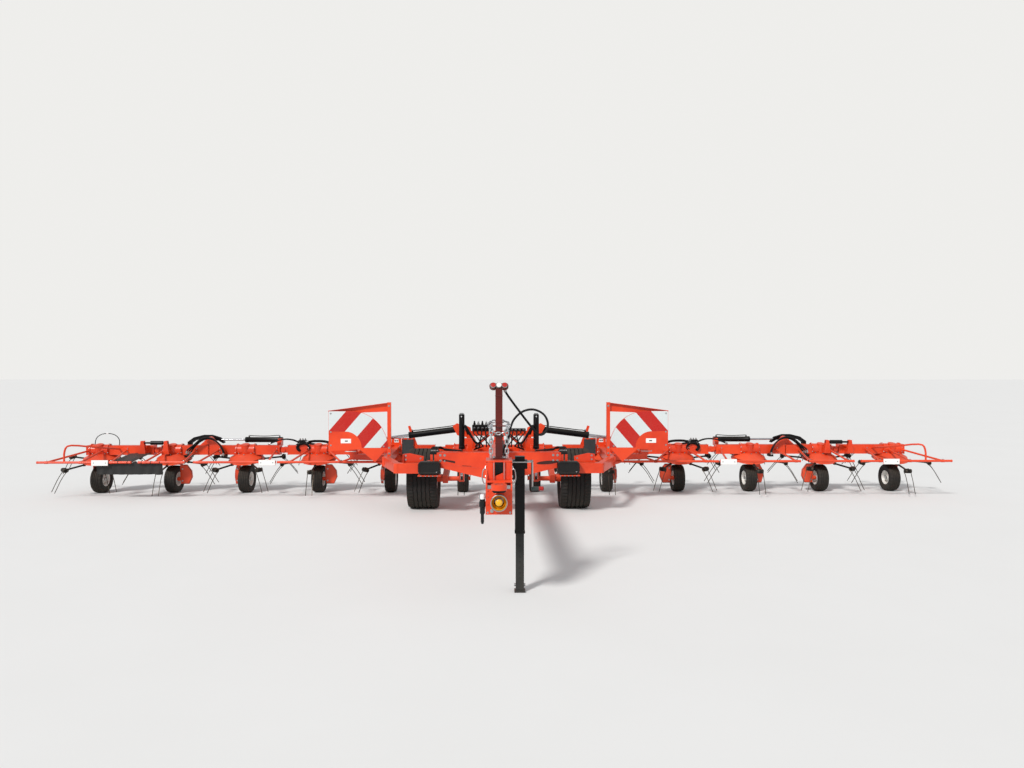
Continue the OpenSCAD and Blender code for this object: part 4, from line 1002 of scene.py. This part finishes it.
def jack_leg_detail():
    """Ends of the foot's pin, and the row of flush ring marks on the leg."""
    b = Build(1, JACK_Y, JACK_X)
    for side in (-1, 1):
        b.tube([(side * 0.0345, 0, 0.055), (side * 0.046, 0, 0.055)], 0.012, 10)
    for k in range(8):
        b.lathe([(0.0065, -0.001), (0.0085, -0.001), (0.0085, 0.0002), (0.0065, 0.0002)],
                (0, -0.034, 0.115 + 0.045 * k), 16, 1, way="front")
    b.piece("jack_leg_detail", [zinc, black_plastic], "jack_leg", "black_paint")


def mast_detail():
    """Hose couplers with dust caps at the mast's top, its collars, and the bolts of its foot."""
    b = Build(y=EYE_Y + 0.26)
    for x, mat in ((-0.045, 2), (0.0, 1), (0.045, 2)):
        at = Matrix.Translation(b.at((x, -0.004, 1.7))) @ Matrix.Rotation(math.radians(60), 4, "X")
        b.lathe([(0.0175, -0.018), (0.0225, -0.018), (0.0225, 0.022), (0.0175, 0.026), (0.0005, 0.027),
                 (0.0005, -0.016)], at, 20)
        b.lathe([(0.0005, 0.0245), (0.0195, 0.0245), (0.02, 0.0275), (0.0005, 0.0285)], at, 20, mat)
    for z in (1.62, 1.42, 1.25):
        b.block((-0.0295, -0.0295, z), (0.0295, 0.0295, z + 0.012), 3, 0.002)
    b.bolts([(x, y, 1.14) for x in (-0.041, 0.041) for y in (-0.028, 0.028)], UP, 0.009, 0.007, 0)
    b.piece("mast_detail", [zinc, rim_paint, grip_red, dark_red], "chassis", "dark_red_paint")


def chain_links(b, path, pitch, half_w, r):
    """Oval links along a path, each turned a quarter from the last."""
    gone, last = 0.0, path[0]
    centres = [(path[0], (path[1] - path[0]).normalized())]
    for p in path[1:]:
        step = (p - last).length
        while gone + step >= pitch:
            last = last.lerp(p, (pitch - gone) / step)
            step = (p - last).length
            centres.append((last.copy(), (p - last).normalized() if step > 1e-6 else centres[-1][1]))
            gone = 0.0
        gone += step
        last = p
    for k, (c, t) in enumerate(centres):
        side = UP if k % 2 else t.cross(UP)
        side = (side - t * side.dot(t)).normalized()
        long = pitch / 2 - r * 0.2
        pts = [c + t * (math.copysign(long - half_w, math.cos(a)) + half_w * math.cos(a))
               + side * (half_w * math.sin(a)) for a in angles(16)]
        b.tube(pts + pts[:2], r, 7, 0, caps=False)


def chain_swag():
    """Chain in two swags round the mast, given as its left half from (x, y, z) to the middle."""
    b = Build(y=EYE_Y)
    front = [(-0.062, 0.214, 1.392), (-0.066, 0.2, 1.372), (-0.04, 0.205, 1.345), (0.0, 0.208, 1.333)]
    back = [(-0.074, 0.236, 1.385), (-0.08, 0.262, 1.4), (-0.06, 0.306, 1.418), (0.0, 0.314, 1.424)]
    for half in (front, back):
        path = smooth_path(half + [(-x, y, z) for x, y, z in reversed(half[:-1])], 12)
        chain_links(b, path, 0.034, 0.01, 0.005)
    b.piece("chain_swag", [galv], "chassis", "galvanised")


for make in (guard_liner, shaft_cap, nose_detail, plug_holder, jack_detail, jack_leg_detail, mast_detail,
             chain_swag):
    make()

# The loop of two hoses, in millimetres from the rotor line. LAID gives the height over the drawbar's top.
HOSE_R = 0.009
LOOP = [(35, -5690, 1690), (75, -5660, 1620), (187, -5565, 1467), (290, -5480, 1335), (345, -5425, 1293),
        (395, -5375, 1322), (411, -5330, 1390), (375, -5300, 1460), (290, -5300, 1498), (200, -5300, 1480),
        (128, -5300, 1415), (95, -5290, 1330), (78, -5250, 1220), (62, -5170, 1130)]
LAID = [(53, -5080, 22), (49, -4980, 4), (46, -4850, 0), (45, -4600, 0), (45, -4000, 0), (45, -3100, 0),
        (45, -2331, 0)]
BAR_HALF, CLEAR = 85, 1
HOSE_GAP = 26


def beside(p):
    """Place of the second hose next to a point of the first."""
    x, y, z = p
    if z > 1300:
        return x, y + HOSE_GAP, z
    if z > 1200:
        return x - 0.6 * HOSE_GAP, y + 0.8 * HOSE_GAP, z
    return x - HOSE_GAP, y, z


def hose_pieces():
    """The two hoses as cords, with the fittings at their ends."""
    lie = BAR_HALF + 1000 * HOSE_R + CLEAR
    route = LOOP + [(x, y, 1000 * bar_at(y / 1000) + lie + dz) for x, y, dz in LAID]
    for k, pts in enumerate((route, [beside(p) for p in route])):
        path = smooth_path([(x / 1000, LINE + y / 1000, z / 1000) for x, y, z in pts], 5)
        b = Build()
        b.tube(path, HOSE_R, 12)
        obj = b.piece(f"hose_{k}", [hose_rubber], "chassis", "hose_rubber", 60, () if k else ["hoses"])
        ends = Build()
        for a, c in ((path[0], path[1]), (path[-1], path[-2])):
            t = (c - a).normalized()
            ends.tube([a, a + t * 0.03], HOSE_R + 0.002, 12)
            ends.tube([a + t * 0.03, a + t * 0.04], HOSE_R + 0.004, 6)
        tip = ends.piece(f"hose_ends_{k}", [zinc], "chassis", "rod_chrome")


hose_pieces()


# Cloth at the left end
def cloth(name, corner, u, v, nu, nv, fold, sink, body):
    """Sheet spanned by u and v from corner, with folds that grow along v."""
    corner, u, v = Vector(corner), Vector(u), Vector(v)
    n = u.cross(v).normalized()
    thick = 0.0007
    rows = []
    for c in [j / nv for j in range(nv + 1)]:
        deep = fold * (0.25 + 0.75 * c)
        for a in [i / nu for i in range(nu + 1)]:
            wave = deep * math.sin(2 * math.pi * (a * 7.3 + 0.12 * math.sin(6 * a)))
            wave += 0.4 * deep * math.sin(37 * a + 2 * c)
            sag = -sink * math.sin(math.pi * a) * c
            rows.append(corner + u * a + v * c + n * wave + Vector((0, 0, sag)))
    for p, q, r, t in [[rows[k] for k in face] for face in net(nv + 1, nu + 1, ring=False)]:
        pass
    b = Build()
    b.add([p + n * thick for p in rows] + [p - n * thick for p in rows], sheet_faces(nv + 1, nu + 1))
    obj = b.piece(name, [tarp], body, "hose_rubber", 60)
    return obj


def cloth_clips(name, body, xs, tops=()):
    """Rings that hold the cloth on the rail, and tabs under the beam."""
    b = Build(y=LINE)
    r = RAIL_R + 0.0035
    for x in xs:
        b.tube([(x, RAIL_Y + r * math.cos(a), RAIL_Z + r * math.sin(a)) for a in angles(12) + [2 * math.pi]],
               0.003, 6, 0, caps=False)
        b.block((x - 0.01, RAIL_Y + 0.021, RAIL_Z - 0.02), (x + 0.01, RAIL_Y + 0.028, RAIL_Z + 0.002),
                0, 0.001)
    for x in tops:
        b.block((x - 0.01, -0.152, 0.606), (x + 0.01, -0.058, 0.611), 0, 0.001)
    b.piece(name, [tarp], body, "hose_rubber")


HUNG_Y = LINE - 0.772
hung = cloth("cloth_hung", (-5.72, HUNG_Y, 0.546), (0.93, 0, 0), (0, 0.006, -0.168), 110, 8, 0.008, 0.006,
             None)
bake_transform(hung)
cloth("cloth_slope", (-5.53, LINE - 0.15, 0.612), (0.3, 0, 0), (0, -0.61, -0.058), 40, 14, 0.006, 0.012,
      "wing_4_l")
cloth_clips("cloth_clips_4", "wing_4_l", (-5.69, -5.53, -5.4, -5.27), (-5.48, -5.28))
cloth_clips("cloth_clips_3", "wing_3_l", (-5.07, -4.94, -4.81))


# Hoses on the wings
def cord(name, b, points, r, steps, bodies, start=None, end=None):
    """Short hose on one body, or, when start is given, on no body with its place baked into the mesh; gives
    its centre line in b's own frame.
    """
    path = smooth_path(points, steps)
    b.tube(path, r, 12)
    obj = b.piece(name, [hose_rubber], None if start else bodies[0], "hose_rubber", 60)
    if start:
        b.at(start)
        b.at(end)
        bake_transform(obj)
    run = [b.at(p) for p in path]
    return path


def fitting(b, a, c, r, mat):
    """Crimped sleeve and nut at the hose's end a, which runs towards c."""
    t = (c - a).normalized()
    b.tube([a - t * 0.004, a + t * 0.03], r + 0.003, 10, mat)
    b.tube([a - t * 0.014, a - t * 0.002], r + 0.005, 6, mat)


def fold_hoses(e, s):
    """Three hoses in an arch over the fold hinge, and the blocks that they end in."""
    r, runs = 0.011, []
    for k in range(3):
        y, up, out = -0.086 - 0.027 * k, 0.012 * k, 0.02 * k
        route = [(x, y - near, z + up) for x, near, z in (
            (4.15, 0, 0.56), (4.165, 0.01, 0.64), (4.215, 0.014, 0.73), (4.3, 0.014, 0.802),
            (4.4, 0.014, 0.826), (4.5, 0.014, 0.79), (4.59, 0.012, 0.712), (4.645 + out, 0.006, 0.64),
            (4.665 + out, 0, 0.6))]
        runs.append(cord(f"fold_hose_{k}_{e}", Build(s, LINE), route, r, 4, (f"wing_2_{e}", f"wing_3_{e}"),
                         (4.3, 0, 0.65), (4.5, 0, 0.65)))
    for k, x0, x1, first, then in ((2, 4.118, 4.182, 0, 1), (3, 4.632, 4.734, -1, -2)):
        b = Build(s, LINE)
        b.block((x0, -0.152, 0.548), (x1, -0.072, 0.58), 0, 0.004)
        b.block((x0, -0.074, 0.548), (x1, -0.04, 0.59), 0, 0.004)
        for path in runs:
            fitting(b, path[first], path[then], r, 1)
        b.piece(f"hose_block_{k}_{e}", [black, zinc], f"wing_{k}_{e}", "black_paint")


def float_hoses(e, s):
    """Two hoses in a loop over the inner float hinge, on the beam's top."""
    r, runs = 0.01, []
    for k in range(2):
        y = -0.03 + 0.036 * k
        route = [(x, y - near, z) for x, near, z in (
            (3.02, 0, 0.745), (3.07, 0.004, 0.772), (3.14, 0.006, 0.8), (3.24, 0.006, 0.812),
            (3.34, 0.004, 0.8), (3.43, 0, 0.768), (3.5, 0, 0.742))]
        runs.append(cord(f"float_hose_{k}_{e}", Build(s, LINE), route, r, 4, (f"wing_1_{e}", f"wing_2_{e}"),
                         (3.18, 0, 0.65), (3.36, 0, 0.65)))
    for k, first, then in ((1, 0, 1), (2, -1, -2)):
        b = Build(s, LINE)
        for path in runs:
            fitting(b, path[first], path[then], r, 1)
        b.piece(f"hose_ends_{k}_{e}", [black, zinc], f"wing_{k}_{e}", "black_paint")


def hose_bundle(e, s):
    """Clamped hoses and a distributor behind the beam's top, inward of the float hinge."""
    b = Build(s, LINE)
    r = 0.0105
    for x in (2.915, 3.11):
        b.block((x - 0.015, 0.058, 0.698), (x + 0.015, 0.15, 0.71), 0, 0.002)
    b.block((2.89, 0.094, 0.71), (3.125, 0.15, 0.728), 2, 0.003)
    b.block((2.96, 0.094, 0.728), (3.09, 0.15, 0.786), 2, 0.005)
    for k in range(3):
        b.lathe([(0.0005, 0), (0.014, 0), (0.014, 0.012), (0.009, 0.016), (0.009, 0.028), (0.0005, 0.029)],
                (2.985 + 0.04 * k, 0.122, 0.785), 12)
    for k in range(4):
        x, y, z = 2.4 + 0.03 * k, 0.101 + 0.0135 * k, 0.768 - 0.016 * (k % 2)
        run = smooth_path([(x, 0.054, 0.69), (x + 0.025, 0.078, 0.694), (x + 0.075, y, 0.722),
                           (2.6 + 0.01 * k, y, z - 0.012), (2.72, y, z + 0.008), (2.85, y, z + 0.01),
                           (2.925, y, z), (2.965, y, z - 0.002)], 5)
        b.tube(run, r, 8, 1)
        for a, c in ((run[0], run[2]), (run[-1], run[-3])):
            fitting(b, a, c, r, 0)
    b.piece(f"hose_bundle_{e}", [zinc, hose_rubber, black], f"wing_1_{e}", "black_paint")


def end_loop():
    """Stiff cable that stands in an arch behind the last gearbox on the left, with its fittings."""
    r, x = 0.006, -6.035
    half = [(-0.18, 0.058, 0.672), (-0.18, 0.085, 0.672), (-0.181, 0.11, 0.676), (-0.183, 0.138, 0.692),
            (-0.186, 0.158, 0.72), (-0.186, 0.167, 0.755), (-0.176, 0.168, 0.8), (-0.142, 0.168, 0.846),
            (-0.08, 0.168, 0.878)]
    route = half + [(0.0, 0.168, 0.889)] + [(-x, y, z) for x, y, z in reversed(half)]
    run = cord("end_loop", Build(1, LINE, x), route, r, 2, ("wing_4_l",))
    b = Build(1, LINE, x)
    for a, c in ((run[0], run[1]), (run[-1], run[-2])):
        fitting(b, a, c, r, 0)
    middle = run[len(run) // 2]
    b.tube([middle - Vector((0.018, 0, 0)), middle + Vector((0.018, 0, 0))], 0.009, 10, 1)
    b.piece("end_loop_fittings", [zinc, white_plastic], "wing_4_l", "black_paint")


both_ends(fold_hoses, float_hoses, hose_bundle)
end_loop()

# Cross beam, tower and centre trim; materials are red, zinc, dark label, black and hose
FRONT_Y = -2.014


def cross_beam_trim(b):
    """Crease and bolts on the cross beam's front."""
    b.prism([(0.785, 0.668), (0.16, 0.6), (0.16, 0.594), (0.785, 0.662)], FRONT_Y - 0.003, FRONT_Y + 0.001)
    b.front_bolts(FRONT_Y, ((0.745, 0.7), (0.745, 0.77), (0.69, 0.77), (0.69, 0.7)), 0.012, 0.009)


def axle_cylinder_trim(b):
    """Cap, port, collar and hoses of an upright axle cylinder."""
    foot = (0.5, -1.45, 0)
    b.lathe([(0.0005, 1.2605), (0.026, 1.2605), (0.03, 1.2635), (0.03, 1.272), (0.022, 1.279),
             (0.0005, 1.28)], foot, 24, 1)
    b.tube([(0.5, -1.487, 1.235), (0.5, -1.51, 1.235), (0.5, -1.515, 1.225)], 0.009, 8, 1)
    b.lathe([(0.0382, 0.795), (0.042, 0.797), (0.042, 0.83), (0.0382, 0.834)], foot, 28, 3)
    for k in range(3):
        x = 0.5 - 0.012 * k
        first = (x - 0.06, -1.3 - 0.05 * k, 0.985) if k else (x, -1.512, 1.222)
        b.curve([first, (x - 0.03, -1.53, 1.12), (x - 0.1, -1.5, 1.0), (x - 0.16, -1.42 - 0.04 * k, 0.9),
                 (x - (0.2 + 0.03 * k), -1.25, 0.82), (0.35, -1.05, 0.745)], 6, 0.0075, 8, 4)


def tower_plate(b):
    """Pin of the tower and the red leaning plate on it."""
    b.front_bolts(-0.75, ((0.5, 1.02),), 0.024, 0.012)
    b.prism([(0.52, 0.9), (0.6, 0.93), (0.665, 1.06), (0.6, 1.1), (0.545, 1.075)], -0.768, -0.76)


def tower_valves(b, plugs):
    """Valve block with its hoses: tall with plugs on top on the left, low on the right."""
    top = 1.074 if plugs else 1.02
    port = (0.986 + top) / 2
    b.block((0.095, -0.757, 0.986), (0.385, -0.65, top), 3, 0.006)
    for k in range(5):
        x = 0.125 + 0.057 * k
        if plugs:
            b.lathe([(0.0005, 0), (0.017, 0), (0.017, 0.026), (0.012, 0.03), (0.012, 0.048), (0.007, 0.056),
                     (0.0005, 0.057)], (x, -0.705, top - 0.001), 14, 1 if k % 2 else 3)
        b.lathe([(0.0005, 0), (0.015, 0), (0.015, 0.016), (0.0105, 0.02), (0.0105, 0.03), (0.0005, 0.03)],
                (x, -0.756, port), 6, 1, way="front")
        far = 0.335 - 0.052 * ((k * 3) % 5)
        b.curve([(x, -0.782, port), (x, -0.815, port - 0.004), (x + 0.01, -0.85, 0.965),
                 (x + (far - x) * 0.35, -0.885 - 0.008 * k, 0.915), (x + (far - x) * 0.75, -0.87, 0.835),
                 (far, -0.8, 0.772), (far, -0.7 + 0.02 * k, 0.752), (far, -0.5, 0.747)], 6, 0.0085, 8, 4)


def tower_struts(b):
    """Struts from the tower's foot to the cross bar, and a clamp for the hoses."""
    b.block((0.06, -0.835, 0.735), (0.345, -0.82, 0.76), 0, 0.002)
    for y in (-0.01, 0.01):
        b.tube([(0.345, y - 0.64, 0.742), (0.13, y - 0.672, 0.93)], 0.013, 10)


def blank_strips(b):
    """Blank dark strips: a leaning one and a thin one on the left, a long oval on the right."""
    oval = [(0.618 + 0.142 * math.cos(a), 0.676 + 0.022 * math.sin(a) + 0.01 * math.cos(a))
            for a in angles(32)]
    for outline in ([(-0.72, 0.722), (-0.56, 0.694), (-0.556, 0.668), (-0.716, 0.7)], oval,
                    [(-0.47, 0.64), (-0.35, 0.632), (-0.35, 0.627), (-0.47, 0.633)]):
        b.prism(outline, FRONT_Y - 0.0015, FRONT_Y, 2)


def drawbar_valves(b):
    """Valve block with four plugs on the drawbar."""
    y, z = -2.33, bar_at(-2.33) + 0.085 + 0.058
    b.block((-0.058, y + 0.002, z - 0.004), (0.058, y + 0.106, z + 0.02), 3, 0.003)
    for k in range(4):
        b.lathe([(0.0005, 0), (0.012, 0), (0.012, 0.03), (0.008, 0.036), (0.0005, 0.036)],
                (-0.04 + 0.027 * k, y + 0.05, z + 0.019), 12, 1)


def centre_detail():
    """What shows on the cross beam, the tower and the drawbar."""
    b = Build(y=LINE)
    for s in (-1, 1):
        b.side = s
        cross_beam_trim(b)
        axle_cylinder_trim(b)
        tower_plate(b)
        tower_valves(b, s < 0)
        tower_struts(b)
    b.side = 1
    blank_strips(b)
    drawbar_valves(b)
    b.piece("centre_detail", [red, zinc, label_dark, black, hose_rubber], "chassis", "red_paint")


centre_detail()


# Floor, backdrop and light
def stage():
    """Pale floor out to the horizon."""
    mesh = bpy.data.meshes.new("floor")
    reach = 600
    mesh.from_pydata([(-reach, -reach, 0), (reach, -reach, 0), (reach, reach, 0), (-reach, reach, 0)], [],
                     [(0, 1, 2, 3)])
    m = Mat("floor", 0.85)
    patches = m.times(m.noise(0.6, 4, 0.6), 0.5)
    m.put(m.b.inputs["Base Color"], m.mix(patches, srgb(226, 225, 222), srgb(216, 215, 211)))
    mesh.materials.append(m.mat)
    new_object("floor", mesh)


def sun(name, energy, turn, angle):
    """Sunlight with its turn and its apparent size in radians."""
    data = bpy.data.lights.new(name, "SUN")
    data.energy = energy
    data.angle = angle
    new_object(name, data).rotation_euler = [math.radians(r) for r in turn]


def sky():
    """Soft light from all sides; the camera sees a paler backdrop than it lights with."""
    light, backdrop = (0.93, 0.95, 1.0, 1), (1.72, 1.71, 1.67, 1)
    world = bpy.data.worlds.new("world")
    scene.world = world
    world.use_nodes = True
    nodes, links = world.node_tree.nodes, world.node_tree.links
    ray = nodes.new("ShaderNodeLightPath")
    mix = nodes.new("ShaderNodeMix")
    mix.data_type = "RGBA"
    mix.inputs[6].default_value = light
    mix.inputs[7].default_value = backdrop
    links.new(ray.outputs["Is Camera Ray"], mix.inputs[0])
    links.new(mix.outputs[2], nodes["Background"].inputs[0])
    nodes["Background"].inputs[1].default_value = 0.5


stage()
sun("key", 2.9, (50, 0, -34), 0.16)
sun("fill", 0.35, (55, 0, 60), 1.2)
sky()
